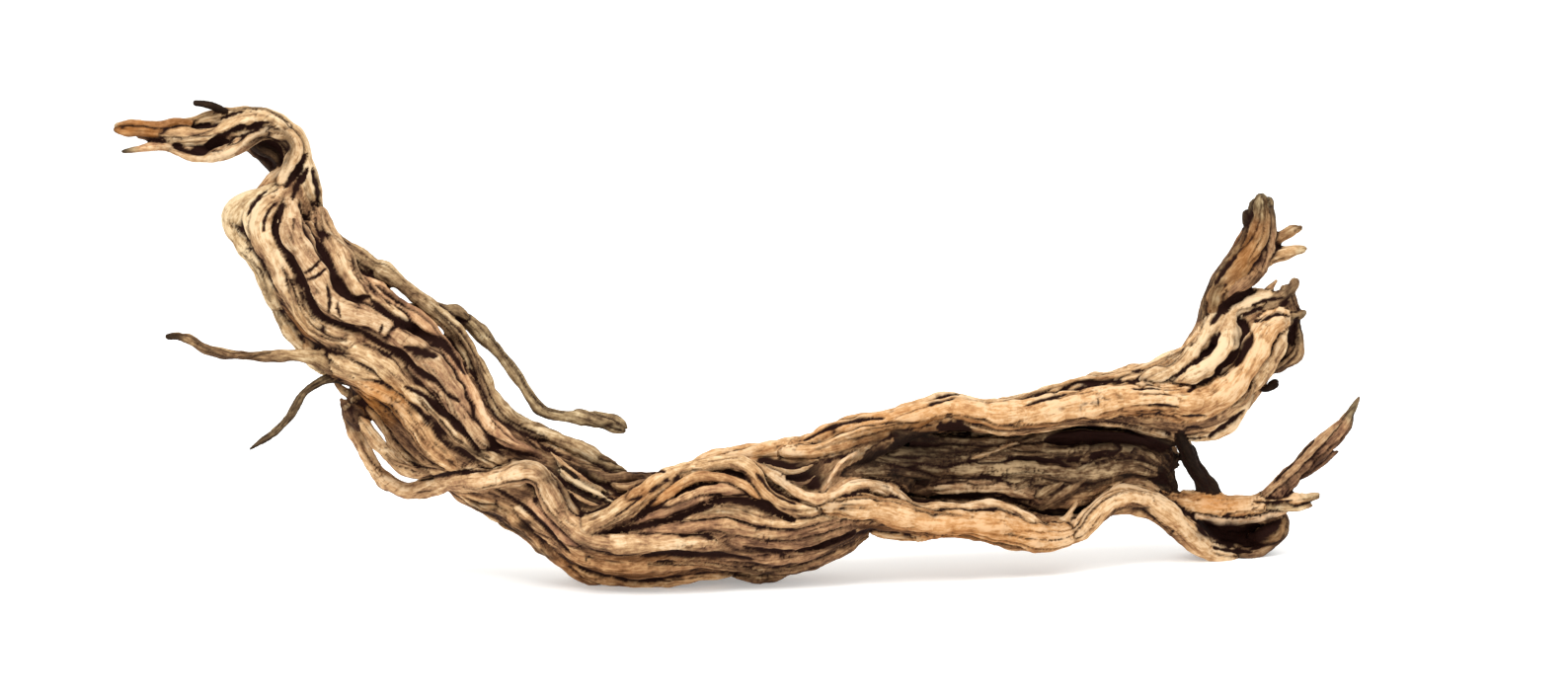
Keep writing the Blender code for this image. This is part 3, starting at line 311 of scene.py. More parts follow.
        (66, 69, 2), (80, 66, 2.6), (95, 65.5, 2.8), (112, 66, 2.8), (130, 67, 2.6), (148, 69, 2)]),
    "heartRidgeHigh": (1, [
        (78, 77, 2), (90, 77, 2.6), (102, 76.5, 2.8), (112, 75.5, 2.8), (122, 75, 2.6),
        (134, 74.5, 2.6), (146, 76, 2.8), (158, 78.5, 2.8), (170, 79, 2.8), (184, 79, 2.8),
        (197, 78.5, 2.6), (208, 76, 2.4), (216, 72, 2)]),
}

# Strands that leave the cores: across, up, radius, depth.
freeStrands = {
    "hookLow": [
        (-229, 233, 3, 10), (-238, 231.6, 3.1, 7.5), (-247, 227.4, 3.4, 5), (-256, 222.6, 3.6, 4),
        (-264.5, 220.6, 3.5, 4), (-274, 221.6, 3.1, 3), (-284, 223.3, 2.6, 2), (-294, 224.5, 2.3, 2),
        (-303, 223.5, 2, 1), (-311, 222.3, 1.4, 1)],
    "hookMiddle": [
        (-230, 233, 3, 12), (-240, 231, 3.2, 10), (-251, 228.5, 3.2, 9), (-262, 226.5, 3, 8),
        (-273, 226.3, 3, 7), (-284, 227.5, 2.8, 6), (-294, 229, 2.4, 5), (-303, 230, 1.6, 4)],
    "hookWeb": [
        (-252, 227, 3, 19), (-243, 224, 5, 22), (-236, 218, 6, 23), (-231, 209, 5, 21),
        (-229, 200, 5, 17)],
    "hookStub": [
        (-259, 242.6, 1.4, 11), (-263, 244.4, 2, 9), (-268, 246, 2.1, 7), (-274.5, 246.8, 1.8, 5)],
    "bellyHeel": [
        (-88, 22, 4.5, 22), (-72, 14, 6, 26), (-54, 11.2, 6.5, 27), (-34, 11, 6.5, 27),
        (-15, 12.2, 6.2, 28), (4, 15.5, 5.4, 29), (22, 21, 4.5, 30)],
    "loopInner": [
        (-197, 92, 3.6, -6), (-190, 85, 3.8, -9), (-184, 77, 3.8, -10), (-178, 70.5, 3.6, -10),
        (-171.5, 63.5, 3.6, -10), (-163.5, 59.5, 3.6, -9), (-154, 60.5, 3.6, -9), (-145, 62, 3.6, -10)],
    "leftRootHigh": [
        (-196, 108, 4, 0), (-205, 113, 4, -5), (-213, 117.5, 3.6, -9), (-223, 118.8, 3.2, -12),
        (-235, 118.6, 3, -14), (-248, 118.8, 2.9, -16), (-260, 120, 3, -19), (-270, 122.5, 3.1, -23),
        (-277, 126.7, 3, -26), (-283, 128.8, 2.6, -29), (-288.5, 128.5, 1.9, -31)],
    "leftRootLow": [
        (-197, 106, 3, 0), (-205, 107.5, 2.6, -2), (-213, 104.5, 2.3, -4), (-220, 99, 2.3, -6),
        (-223.5, 93, 2.3, -8), (-228, 86, 2.1, -10), (-235, 79, 1.9, -12), (-241, 75, 1.6, -14),
        (-246.5, 71.5, 1.2, -15)],
    "sideShoot": [
        (-166, 142, 3.5, 14), (-156, 143, 4, 13), (-147, 141, 4, 13), (-139, 138, 3.9, 13),
        (-131, 132, 3.8, 12), (-123.5, 124, 3.6, 11), (-116.5, 115.5, 3.4, 10), (-110, 106.5, 3.3, 9),
        (-104, 97.5, 3.2, 8), (-98, 91, 3.4, 7), (-89, 88.7, 3.5, 6), (-80, 88, 3.7, 5),
        (-71, 86, 4.7, 4), (-63, 84, 5.2, 3), (-57.5, 82.5, 4, 2)],
    "plank": [
        (214, 48, 4, 55), (224, 46, 5, 58), (234, 44, 5.8, 61), (244, 43.2, 6.4, 64),
        (255, 43, 6.2, 66), (266, 44, 5.4, 68), (276, 45.3, 4.6, 70), (286, 46.5, 3.8, 72),
        (294.5, 48, 2.2, 74)],
    "spike": [
        (263, 45, 5, 69), (272, 49.5, 5, 70), (279, 56, 5.2, 71), (286, 63, 5.6, 73),
        (293.5, 70, 5.5, 75), (301, 77, 5, 76), (307.5, 84, 3.8, 77), (311.5, 91, 2.4, 78),
        (315.3, 98, 1.2, 79)],
    "spikeSplinter": [
        (280, 57, 2.5, 72), (287, 59.5, 3.4, 74), (294, 64, 3.2, 76), (300, 68, 2.4, 77),
        (304.5, 70.5, 1.2, 78)],
    "footFloor": [
        (216, 40, 5, 64), (228, 33, 6, 70), (240, 27, 7, 76), (251, 25, 6.6, 79), (262, 26.5, 5.5, 80),
        (270, 30, 4.6, 80), (275, 34.5, 3.6, 80)],
    "footCheek": [(238, 38, 5, 75), (250, 36, 6, 79), (262, 36.5, 5.4, 80), (272, 38, 3.6, 79)],
    "footEnd": [
        (252, 17.5, 3, 67), (262, 18.8, 3.4, 69), (270, 23, 3.6, 71), (275.5, 28.5, 3.5, 74),
        (277.5, 35, 3.1, 76), (274, 40, 2.6, 77)],
    "strut": [
        (222, 81, 4, 50), (225.8, 74.5, 4.3, 52), (229.3, 67.5, 4.9, 55.5), (233.4, 60, 5.5, 59.5),
        (237.8, 53.5, 5.8, 64), (241, 48, 4.6, 68)],
    "strutThin": [(213, 58, 2, 56), (219, 62.3, 1.6, 56), (224, 67.3, 1.6, 55), (228.5, 73, 2, 54)],
    "forkLump": [
        (268, 112, 4, 62), (275, 115.5, 5, 65), (281, 121, 6, 67), (282.5, 128, 5.4, 67),
        (282, 136, 5, 65), (281, 145, 4.6, 63), (278, 153, 4, 61)],
    "forkStub": [
        (258, 103, 3, 58), (264, 101.7, 2.2, 58), (269, 102.5, 2.4, 58), (273.5, 105, 2.5, 58)],
    "limbStubHigh": [
        (262, 173, 4, 64), (270, 176.5, 3.6, 64), (277, 179.8, 3.2, 65), (282.5, 183, 3.2, 66),
        (286, 184, 2.2, 67)],
    "limbStubLow": [
        (258, 163, 4.5, 62), (266, 167, 4.4, 62), (273.5, 169.5, 4.2, 62), (280.5, 171.5, 3.5, 62),
        (287.5, 172.7, 2, 63)],
    "limbSpur": [(263, 182, 4, 62), (259.5, 187, 3.2, 61), (257.5, 191.5, 1.8, 61)],
    # finer ones, over or beside those above
    "hookCrossHigh": [
        (-224, 226, 2.6, 10), (-229, 233.5, 3.2, 7), (-237, 238.5, 3.5, 5.5), (-247, 238.8, 3.4, 4.5),
        (-257, 235, 3.2, 3.5), (-267, 230, 3, 3), (-277, 227.6, 2.7, 3), (-287, 228.6, 2.2, 3),
        (-295, 230.5, 1.4, 4)],
    "hookCrossLow": [
        (-227, 235, 2.4, 9), (-235, 233.6, 2.7, 6.5), (-243.5, 230.4, 2.9, 4), (-252, 224.6, 3, 2.5),
        (-261, 220.2, 3, 1.5), (-269, 219.2, 2.9, 1.5), (-277, 220.6, 2.6, 1), (-286, 223.2, 2.1, 1.5),
        (-294, 224.6, 1.4, 2)],
    "hookFill": [
        (-244, 226, 3, 14), (-239, 223.5, 4.4, 15), (-234.5, 221.5, 4.6, 16), (-231, 216, 4, 17),
        (-231, 210, 3, 17)],
    "hookFray": [
        (-276, 237, 1.6, 7), (-284, 237.6, 1.9, 5), (-292, 235.4, 2, 4), (-301, 236.6, 2, 3),
        (-308, 237, 1.6, 3), (-313, 236, 0.9, 3)],
    "hookTip": [
        (-287, 231.4, 2.4, 5), (-295, 232.2, 3, 4), (-303, 232.8, 3.3, 3), (-310, 233, 2.7, 3),
        (-315, 233.4, 1.4, 3)],
    "forkBlock": [
        (262, 141, 3, 60), (270, 146, 4, 60), (277, 149.5, 4.2, 60), (281, 153.5, 3.6, 60),
        (283, 157, 2.4, 61)],
    "forkTooth": [
        (273, 137, 3, 60), (280, 138.6, 3.4, 60), (285.5, 139.6, 2.6, 60), (288, 141.5, 1.2, 61)],
    "forkToothSmall": [(266, 150, 2.6, 61), (271, 154, 2, 61), (273.5, 157, 1.1, 62)],
    "limbKnob": [(263, 184, 3, 61), (261, 191, 3.4, 61), (261.5, 196.5, 2.6, 62)],
    "limbCrown": [(268, 186, 3, 63), (270, 193, 2.8, 63), (269.5, 198, 2.2, 64)],
    "heartFill": [(148, 39, 4.4, 42), (158, 39, 4.4, 45), (168, 40, 4.4, 48), (178, 44, 4.4, 50)],
    "limbBark": [
        (237, 141, 2.6, 57), (239.5, 150, 3, 56), (244, 158, 3.2, 55), (250, 166.5, 3.2, 55),
        (255.5, 175, 2.8, 56), (258.5, 183, 2, 58)],
    "strutBark": [
        (224, 79, 2.4, 47), (227.5, 72, 2.8, 49), (231, 64.5, 3, 52), (235, 58, 2.8, 56),
        (239, 53, 2, 60)],
    "plankTip": [(268, 42.5, 3, 66), (277, 42.6, 2.8, 68), (285, 42.4, 2.2, 70), (291.5, 43, 1.2, 71)],
    "spikeBark": [
        (268, 49, 2.4, 66), (276, 56, 2.8, 67), (283.5, 63.5, 3, 69), (291, 71.5, 3, 71),
        (299, 79.5, 2.6, 73), (306, 86, 1.8, 75)],
    "plankRim": [
        (233, 38, 1.5, 57), (240, 35.6, 2, 58.5), (249, 34.6, 2.2, 60.5), (259, 35.6, 2.2, 62.5),
        (269, 37.6, 2, 65), (278, 39.6, 1.3, 67.5)],
    "footCrumbHigh": [(262, 36.5, 2, 73), (269, 35.6, 2.7, 72), (275.5, 38, 2, 72)],
    "footCrumbLow": [(264, 30.5, 2.2, 73), (270.5, 27.8, 2.8, 71.5), (276.5, 30, 2.2, 72)],
    "heartRoof": [
        (194, 81.5, 3.4, 50), (205, 80.5, 4.2, 51), (214.5, 78, 4.2, 52), (221, 75.6, 3.2, 53),
        (226, 74, 2.2, 53)],
    "heartBackFill": [
        (108, 79, 3.6, 44), (130, 80, 4.5, 46), (150, 81, 4.5, 49), (170, 82, 4.5, 52),
        (186, 83, 3.4, 54)],
    "heartEnd": [(202, 57.5, 3.6, 54), (210, 54.5, 4, 55), (217.5, 51, 3.4, 57)],
    "heartFoot": [
        (212, 66, 4, 55), (217.5, 60.5, 4.2, 56.5), (220.5, 54.5, 3.8, 58), (221.5, 48.5, 3, 60)],
    "footLump": [(260, 27, 3, 74), (267, 27.5, 4.6, 71), (273, 30.5, 4.6, 71), (276.5, 35.5, 3, 73)],
    "limbCap": [(263, 186, 4, 62), (264.5, 194, 4.6, 62.5), (265.5, 199.5, 3.6, 63)],
    "loopKnob": [(-199, 95, 3, -4), (-196, 90.5, 4.6, -6), (-192.5, 86, 4.8, -7), (-190, 82, 3.4, -7)],
    "loopRoot": [(-189.5, 101, 4, 2), (-194, 97, 4.2, 3.5), (-196, 92, 4.1, 4.5), (-195, 86, 3.8, 4)],
    "rootCollar": [(-199, 110, 3.4, -3), (-206, 112.6, 3.2, -6), (-213, 115.6, 2.6, -9)],
    "shootKnuckle": [(-150, 142.5, 2.6, 11), (-143, 142, 3, 10.6), (-137.5, 138.4, 2.4, 11)],
}

# How pale (0 to 1), how pink (below 0: how orange), how sooty and how grey each strand is;
# what a row leaves out is 0. The soot is partly real dirt and partly painted shade.
strandLooks = {
    "shoulder": (0.76, 0, 0, 0.5), "shoulderInner": (0.7, 0.25, 0, 0.25), "pod": (0.72, 0.6, 0, 0.3),
    "armRight": (0.66, 0.3, 0, 0.25), "edgeUpper": (0.56, 0, 0.1, 0.45), "edgeInner": (0.5, 0.5),
    "podLower": (0.62, 0.55, 0, 0.25), "armLower": (0.66, 0.1, 0, 0.25),
    "armKnot": (0.62, -0.2, 0, 0.1), "armLowerFill": (0.7, 0, 0, 0.25), "armEdge": (0.68, 0, 0, 0.2),
    "loopToBelly": (0.68, 0.25, 0, 0.1), "loopInner": (0.6, 0.1, 0.1, 0.1), "bellyOuter": (0.63, -0.1),
    "bellyMiddle": (0.7, 0.05), "bellyPink": (0.58, 0.7), "bellyFold": (0.55, 0.15),
    "bellyLow": (0.53,), "archOuter": (0.6, 0, 0, 0.1), "archRim": (0.62, -0.2),
    "archMiddle": (0.52, 0.4), "archPink": (0.55, 0.6), "underArch": (0.64, 0.1, 0, 0.1),
    "underArchLow": (0.6, 0.25), "underArchBrown": (0.44, 0.25, 0.1), "lowerLip": (0.72, -0.3),
    "lipLow": (0.66, -0.1), "footRope": (0.72, -0.15), "footUnder": (0.55, -0.1, 0.1),
    "footUpper": (0.7, 0.1), "pocketRim": (0.8, 0.2), "topMass": (0.71, -0.3), "lipTop": (0.7, -0.1),
    "lipUnder": (0.72, 0.1), "forkRibOuter": (0.76, 0.15, 0, 0.2),
    "forkRibMiddle": (0.78, 0.1, 0, 0.15), "forkEdge": (0.74, 0.1, 0, 0.15),
    "forkBlock": (0.55, 0.1, 0.1, 0.5), "footLump": (0.5, -0.3, 0.4, 0.2),
    "limbCap": (0.45, 0, 0.3, 0.9), "loopKnob": (0.35, 0.3, 0.6), "loopRoot": (0.3, -0.2, 0.5),
    "archTie": (0.66, 0.2), "shoulderFill": (0.76, 0, 0, 0.3), "forkTooth": (0.6, 0, 0.2, 0.2),
    "forkLump": (0.5, 0.1, 0.2, 0.3), "limbRib": (0.54, -0.35, 0.34, 0.1),
    "limbFront": (0.58, 0.45, 0.3), "limbBark": (0.5, 0, 0.3, 0.5), "limbKnob": (0.4, 0, 0.5, 0.8),
    "limbCrown": (0.4, 0, 0.4, 0.8), "limbStubHigh": (0.6, -0.3, 0.1, 0.3),
    "limbStubLow": (0.72, -0.2, 0.05, 0.2), "limbSpur": (0.3, 0, 0.85, 0.5),
    "hookOuter": (0.74, 0, 0, 0.3), "hookWrap": (0.76, 0.15, 0, 0.2), "hookLow": (0.76, 0.3),
    "hookMiddle": (0.66, 0.2), "hookCrossHigh": (0.8, 0.1, 0, 0.25),
    "hookCrossLow": (0.8, 0.35, 0, 0.2), "hookFray": (0.5, -0.15, 0.15), "hookTip": (0.42, -0.25, 0.25),
    # hookWeb and hookFill are near black: painted shade in the hollow behind the hook's neck, with some dirt
    "hookWeb": (0.34, 0, 0.4, 0.2), "hookFill": (0.2, 0, 0.9), "hookStub": (0.2, 0, 0.95),
    "leftRootHigh": (0.46, -0.1, 0.05, 0.5), "leftRootLow": (0.42, 0, 0.15, 0.8),
    "rootCollar": (0.7, 0, 0, 0.3), "sideShoot": (0.48, 0, 0.15, 0.7),
    "shootKnuckle": (0.5, 0, 0.2, 0.6), "plank": (0.74, -0.35), "plankTip": (0.72, 0, 0, 0.4),
    "spike": (0.46, 0.4, 0.2), "spikeBark": (0.56, 0.35, 0.1, 0.1), "spikeSplinter": (0.32, 0.3, 0.3),
    "footFloor": (0.3, 0, 0.75), "footCheek": (0.4, 0, 0.5, 0.2), "footEnd": (0.42, 0.3, 0.5, 0.1),
    # heartFill, and heartFoot, heartEnd, heartRoof and heartBackFill below, are near black: painted shade
    # deep in the hollow
    "heartFill": (0.3, 0, 0.7), "heartLow": (0.6, 0.4), "heartFibreHigh": (0.66, 0, 0, 0.3),
    "heartFibreLow": (0.7, 0.1, 0, 0.2), "strut": (0.15, 0, 0.97), "strutBark": (0.15, 0, 0.9, 0.3),
    "strutThin": (0.15, 0, 0.9), "forkStub": (0.1, 0, 0.95), "pocketThread": (0.8, 0, 0, 0.3),
    "pocketRoot": (0.48, 0.2, 0.4, 0.1), "pocketSmall": (0.8, 0, 0, 0.3),
    "pocketShort": (0.5, 0.3, 0.3, 0.1), "notchTie": (0.8, 0.1), "paleTie": (0.8, 0.4),
    "cupThread": (0.74, 0.2, 0, 0.2), "cupThreadLow": (0.66, 0.2, 0, 0.3), "topMassLow": (0.65, -0.25),
    "plankRim": (0.9, 0.6), "footCrumbHigh": (0.6, 0.2, 0.1, 0.2), "footCrumbLow": (0.7, 0, 0, 0.3),
    "heartFoot": (0.3, 0, 0.6), "heartEnd": (0.3, 0, 0.7), "heartRoof": (0.2, 0, 0.85),
    "heartBackFill": (0.3, 0, 0.6),
}

# Stains: across, up, half width, half height, how strong, and 1 where it runs all round. The soot
# rows are partly real dirt, at tips and ends, and partly painted shade: in the pockets, the cup,
# the hollow, behind the hook's neck, at the foot and along the belly's underside.
stains = {
    "sootAndShade": [
        (-80, 58, 20, 13, 1), (-62, 59, 14, 6, 0.7), (30, 59.5, 17, 9, 1), (16, 66, 6, 2.5, 0.9),
        (38, 55.5, 8, 6, 1), (50, 24, 24, 4, 0.65), (18, 8.5, 28, 3, 0.6), (-77, 51, 15, 11, 1),
        (-14, 41, 36, 3.5, 0.5), (190, 76, 32, 6, 0.95), (112, 81, 8, 5.5, 0.95),
        (88, 71, 32, 14, 0.85), (-236, 222, 12, 9.5, 1), (-302, 229.8, 13, 2.4, 0.6),
        (256, 29, 22, 6, 1), (256, 128, 4, 9, 0.8), (-196, 93.3, 5, 3.6, 1, 1),
        (-196.5, 85.3, 6, 4.4, 1, 1), (-20, 18, 26, 2.5, 0.5), (-316, 234, 4, 4, 0.6, 1),
        (-311, 222.5, 4, 3, 0.9, 1), (-286, 128.5, 7, 5, 0.95, 1), (-246, 72, 5, 5, 0.7, 1),
        (259, 189, 4, 8, 0.95, 1), (273, 189, 2.6, 9, 0.9, 1), (264, 200, 8, 6, 0.75, 1),
        (286, 184, 4, 3, 0.6, 1), (284.5, 133, 5, 8, 1, 1), (278, 54, 4, 3, 0.8),
        (-59, 80.5, 5, 3, 0.9, 1), (-176, 92, 8, 9, 0.5), (-158, 120, 9, 4, 0.8),
        (288, 58, 5, 4, 0.6, 1), (297, 65, 5, 4, 0.6, 1), (287, 140, 3, 3, 0.9, 1),
        (246, 148, 5, 3, 0.7), (311, 88, 4, 5, 0.5, 1), (296, 48.5, 3, 2, 0.7, 1),
        (-66, 81.5, 14, 3, 0.75), (-100, 70, 10, 3, 0.5), (86, 75, 26, 9, 0.7), (160, 52, 12, 3, 0.5),
        (271.5, 26, 9, 7, 0.9), (-60, 84, 10, 2, 0.5, 1), (-128, 40.5, 14, 4, 1, 1),
        (-111, 30.5, 10, 5, 1, 1), (-98, 19, 7, 4, 0.8, 1), (-57.5, 82.5, 4, 4, 0.9, 1),
        (-127, 70, 12, 7, 0.65), (-107, 65, 9, 4.5, 0.75), (268, 178, 4, 9, 0.65),
        (247, 160, 4, 8, 0.4), (262, 161, 6, 3, 0.5), (262, 177.5, 2.5, 3, 0.8), (244, 153, 3, 3, 0.6),
        (257, 160, 3.5, 3, 0.6), (264, 156.8, 5, 2.5, 0.8)],
    "orange": [
        (-304, 234, 15, 5, 0.66, 1), (-278, 236, 18, 5, 0.35), (244, 44.5, 11, 4.5, 1),
        (-179, 95, 13, 10, 1), (258, 168, 9, 14, 0.5), (-60, 12, 50, 9, 0.3), (120, 30, 50, 9, 0.5),
        (70, 86, 60, 9, 0.45), (-222, 132, 10, 12, 0.45), (-44, 50, 22, 9, 0.4), (14, 56, 7, 12, 0.4)],
    "grey": [
        (265, 195, 9, 8, 0.9, 1), (280, 150, 6, 7, 0.6, 1), (313, 92, 6, 9, 0.95, 1),
        (-309, 223, 6, 3, 0.7, 1), (242, 150, 5, 14, 0.6), (287, 172, 5, 4, 0.7, 1),
        (-248, 186, 8, 14, 0.45), (292, 47, 6, 4, 0.7, 1), (145, 59, 20, 7, 0.5),
        (-236, 238, 14, 6, 0.35)],
    "pale": [(144, 59, 17, 7, 0.3), (246, 45, 9, 4, 0.2), (-247, 190, 5, 12, 0.15)],
    "calm": [
        (-247, 180, 18, 38, 1), (-222, 134, 15, 20, 0.85), (-197, 113, 28, 13, 0.75),
        (-214, 167, 14, 28, 0.65), (-178, 132, 24, 14, 0.65), (-150, 107, 15, 15, 0.55),
        (-262, 230, 36, 14, 0.7), (-225, 216, 10, 18, 0.4), (250, 120, 30, 34, 0.75),
        (252, 88, 26, 13, 0.7), (256, 165, 15, 28, 0.55), (246, 45, 18, 7, 0.95),
        (225, 33, 34, 15, 0.5), (60, 84, 46, 8, 0.5), (140, 89, 60, 9, 0.5), (48, 73, 36, 8, 0.75),
        (110, 33, 64, 9, 0.65), (-58, 20, 46, 10, 0.65), (-96, 38, 18, 20, 0.6), (10, 66, 40, 8, 0.4),
        (160, 58, 50, 10, 0.75), (256, 37, 26, 5, 0.8), (-140, 54, 36, 8, 0.5), (290, 70, 26, 30, 0.4)],
}
stainEdge = {
    "size": 7.0, "reach": 2.2,  # mm: the edges wander by a noise of this cell size, this far
    "seeds": (31, 37),
    "fall": 1.5,  # power of the squared distance
}

# Bold grooves cut into the front and painted near black with groove shade: half width, depth of
# the cut, then across and up.
darkLines = [
    (1.6, 1.2, [(-64, 29.5), (-54, 31.5), (-44, 33.5), (-33, 36), (-22, 40), (-12, 43)]),
    (2.1, 1.5, [(-14, 45), (-2, 46.3), (10, 44.2), (20, 39.5), (29, 35.4)]),
    (1.5, 1.2, [(-48, 17), (-35, 18.5), (-25, 18), (-10, 18), (-3, 17), (8, 15.5)]),
    (1.5, 1.1, [(30, 19.5), (40, 21.5), (50, 24.5), (60, 28), (70, 30.5)]),
    (1.2, 0.9, [(3, 22), (12, 20.3), (21, 19.6), (29, 20)]),
    (1.2, 0.8, [(-52, 60), (-44, 60.5), (-36, 60)]),
    (1.3, 1, [(-122, 51), (-113, 46), (-105, 40), (-98, 33), (-92, 26), (-85, 19)]),
    (1.1, 0.9, [(-160, 56), (-150, 58), (-138, 60), (-126, 61)]),
    (0.9, 0.8, [(-220, 160), (-215, 163), (-210, 168)]),
    (0.9, 0.8, [(-219, 157), (-213, 159), (-208, 163)]),
    (1, 0.8, [(-207, 155), (-206, 147), (-207, 140)]),
    (0.9, 0.8, [(-202, 146), (-202, 142), (-201, 138)]),
    (0.9, 0.8, [(-179, 135), (-180, 132), (-181, 130)]),
    (1.6, 1.3, [
        (-233, 190), (-234, 183), (-232, 176), (-227, 169), (-222, 160), (-218, 152), (-215, 145),
        (-210, 138), (-203, 135), (-190, 131)]),
    (2, 1.5, [
        (-219, 190), (-217, 182), (-212, 175), (-209, 170), (-205, 163), (-203, 157), (-200, 152),
        (-195, 148), (-185, 149)]),
    (2.2, 1.5, [
        (-185, 147), (-180, 143), (-176, 140), (-168, 135), (-160, 130), (-152, 127), (-147, 124),
        (-142, 117), (-137, 110)]),
    (1.6, 1.3, [
        (-190, 131), (-184, 127), (-177, 123), (-170, 120), (-165, 115), (-160, 110), (-152, 105),
        (-147, 100), (-140, 96)]),
    (1.5, 1.2, [(-168, 103), (-160, 100), (-152, 93), (-145, 87), (-135, 76), (-130, 70)]),
    (1.6, 1.3, [(-217, 221), (-223, 212), (-229, 204)]),
    (1.6, 1.3, [(-217, 214), (-223, 204), (-225, 198)]),
    (1.7, 1.3, [(-214, 214), (-212, 203), (-212, 195)]),
    (1.9, 1.6, [
        (-249, 235), (-254, 233), (-259, 230.4), (-264, 227.4), (-269, 223.6), (-277, 222.4),
        (-285, 225.6)]),
    (0.9, 0.8, [(-236, 236.5), (-242, 236.2), (-248, 234)]),
    (0.9, 0.6, [(-250, 242.6), (-256, 241), (-262, 238.6)]),
    (1.2, 0.8, [(-266, 236.4), (-270, 235.2), (-274, 234.6)]),
    (1, 0.8, [(-248, 190), (-245.5, 195), (-241.5, 199.5), (-238, 202.5)]),
    (1, 0.7, [(-232.5, 197), (-236.5, 192.5), (-239, 187), (-239.5, 181.5)]),
    (1.4, 1, [(239, 77), (248, 84), (257, 91)]),
    (2.2, 1, [(-168, 123), (-160, 121), (-152, 119)]),
    (1.6, 1.2, [(284, 138), (282.5, 131), (281, 124)]),
    (1.5, 1, [(242, 155), (247, 163), (253, 170)]),
    (2, 1.2, [(240, 135), (249, 145), (263, 153)]),
    (1.1, 0.8, [(261, 144), (269, 147), (277, 148)]),
    (0.8, 0.7, [(262, 45), (271, 44.6), (281, 45.4)]),
    (1.2, 0.8, [(272, 55), (282, 66), (292, 76)]),
    (1.3, 0.8, [(241, 22), (251, 20.5), (261, 20)]),
    (2.7, 2.2, [
        (243, 109), (248, 113), (253, 117.6), (257, 122.6), (258.8, 128), (257.8, 133.2),
        (255, 137.6)]),
    (1.1, 0.9, [(228, 101.5), (234, 104), (240, 107), (246, 111.5), (251, 116)]),
    (1.3, 1, [(231, 114.5), (235.5, 118), (240, 122), (243, 127), (244.5, 131)]),
    (1.1, 0.8, [(262, 136), (268, 138), (274, 140), (280, 139)]),
    (1.3, 1, [(280, 125), (281, 131), (284, 136)]),
    (1.4, 1, [(246, 140), (248, 143), (250, 146)]),
    (0.8, 0.6, [(225, 88), (232, 88.5), (238, 88)]),
    (0.8, 0.6, [(227, 82), (232, 82.5), (236, 82)]),
    (0.8, 0.6, [(228, 77), (233, 77), (238, 77.5)]),
    (0.9, 0.6, [(208, 93), (216, 93.5), (224, 93)]),
    (0.9, 0.6, [(200, 102), (208, 103), (215, 102)]),
    (0.8, 0.6, [(200, 111), (204, 111.5), (207, 111)]),
    (1.2, 0.9, [(34, 76), (42, 80.3), (50, 83.6), (58, 85.8), (66, 87), (75, 87.8)]),
    (1.5, 1, [(97, 94), (105, 97.5), (113, 100)]),
    (1.1, 0.9, [(147, 94), (153, 96), (160, 98), (172, 105), (184, 106), (195, 106)]),
    (1.3, 0.8, [(10, 59), (17, 52), (24, 47), (30, 44)]),
    (1.4, 0.8, [
        (58, 55), (66, 56.5), (75, 55.5), (82, 53.5), (87, 47), (93, 44.5), (101, 46.5), (112, 47),
        (125, 48), (135, 48), (141, 44), (148, 42)]),
    # the last four are mostly painted shade: under the hollow's roof, in the cup and in the recess at the
    # foot; the last two cut nothing
    (3, 0.6, [(102, 82.5), (107, 82.5), (112, 82.5), (118, 80.5)]),
    (3.8, 0.6, [(157, 76), (168, 79), (182, 80), (196, 78), (208, 76), (216, 71)]),
    (4.2, 0, [(12, 66), (20, 62.5), (28, 59), (36, 55.5), (41, 53)]),
    (5.5, 0, [(234, 33.5), (241, 30.5), (249, 28.5), (258, 27.5), (267, 30), (274, 35)]),
]
lineShape = {
    "step": 0.8, "margin": 8,  # mm
    "ends": 0.35, "middle": 0.75,  # shares of the half width, at the ends and on top of it midway
    "ripple": 0.18, "ripples": 21,  # share of the half width, and radians along the groove
    "edge": 4,  # the bell's power
}


def seenPoints(across, up, depth):
    # the point at a depth on the sight line through a seen place: eye + (place - eye) * reach
    eye, upward, _ = sightAxes()
    place = np.outer(across, [1, 0, 0]) / 1000 + np.outer(up, upward) / 1000
    reach = (np.asarray(depth) / 1000 - eye[1]) / (place[:, 1] - eye[1])
    return (eye + (place - eye) * reach[:, None] - np.array(view["origin"])) * 1000


def seenPlaces(points):
    # the other way round: across and up of points in millimetres
    eye, upward, forward = sightAxes()
    ray = points / 1000 + np.array(view["origin"]) - eye
    place = eye + ray * (view["distance"] / (ray @ forward))[:, None]
    return place[:, 0] * 1000, (place @ upward) * 1000


def summed(steps):
    # the way gone at each station: 0, then the running sum of the steps
    return np.concatenate([[0], np.cumsum(steps)])


def along(rows, spacing):
    # rows read about every spacing from a smooth cubic through the given rows
    rows = np.array(rows, float)
    chord = summed(np.hypot(*np.diff(rows[:, :2], axis=0).T))
    place = np.linspace(0, chord[-1], max(3, round(chord[-1] / spacing) + 1))
    slope = np.gradient(rows, chord, axis=0)
    first = np.clip(np.searchsorted(chord, place, side="right") - 1, 0, len(rows) - 2)
    span = (chord[first + 1] - chord[first])[:, None]
    t = (place - chord[first])[:, None] / span
    return ((2 * t**3 - 3 * t**2 + 1) * rows[first] + (t**3 - 2 * t**2 + t) * span * slope[first]
            + (3 * t**2 - 2 * t**3) * rows[first + 1] + (t**3 - t**2) * span * slope[first + 1])


seating = {
    "rowStep": 8.25,  # mm between the places where a lying strand is seated
    "coreStep": 2.0, "stationStep": 1.5,  # mm between the stations of a core and of a strand
    "coreReach": 1.12,  # half widths from a core's line where a strand still lies on it
    "sink": 0.25,  # share of a strand's radius that sinks in
    "taper": 16.0, "taperShare": 0.3,  # mm over which an end goes in, and at most this share of the run
    "endRadius": 0.3, "endSink": 1.1,  # shares of the radius: what is left of it, how deep it goes
    "openEnds": ("hookOuter", "hookWrap", "limbRib", "limbFront"),  # their last end stays out
}
denseCores = {name: along(rows, seating["coreStep"]) for name, rows in cores.items()}


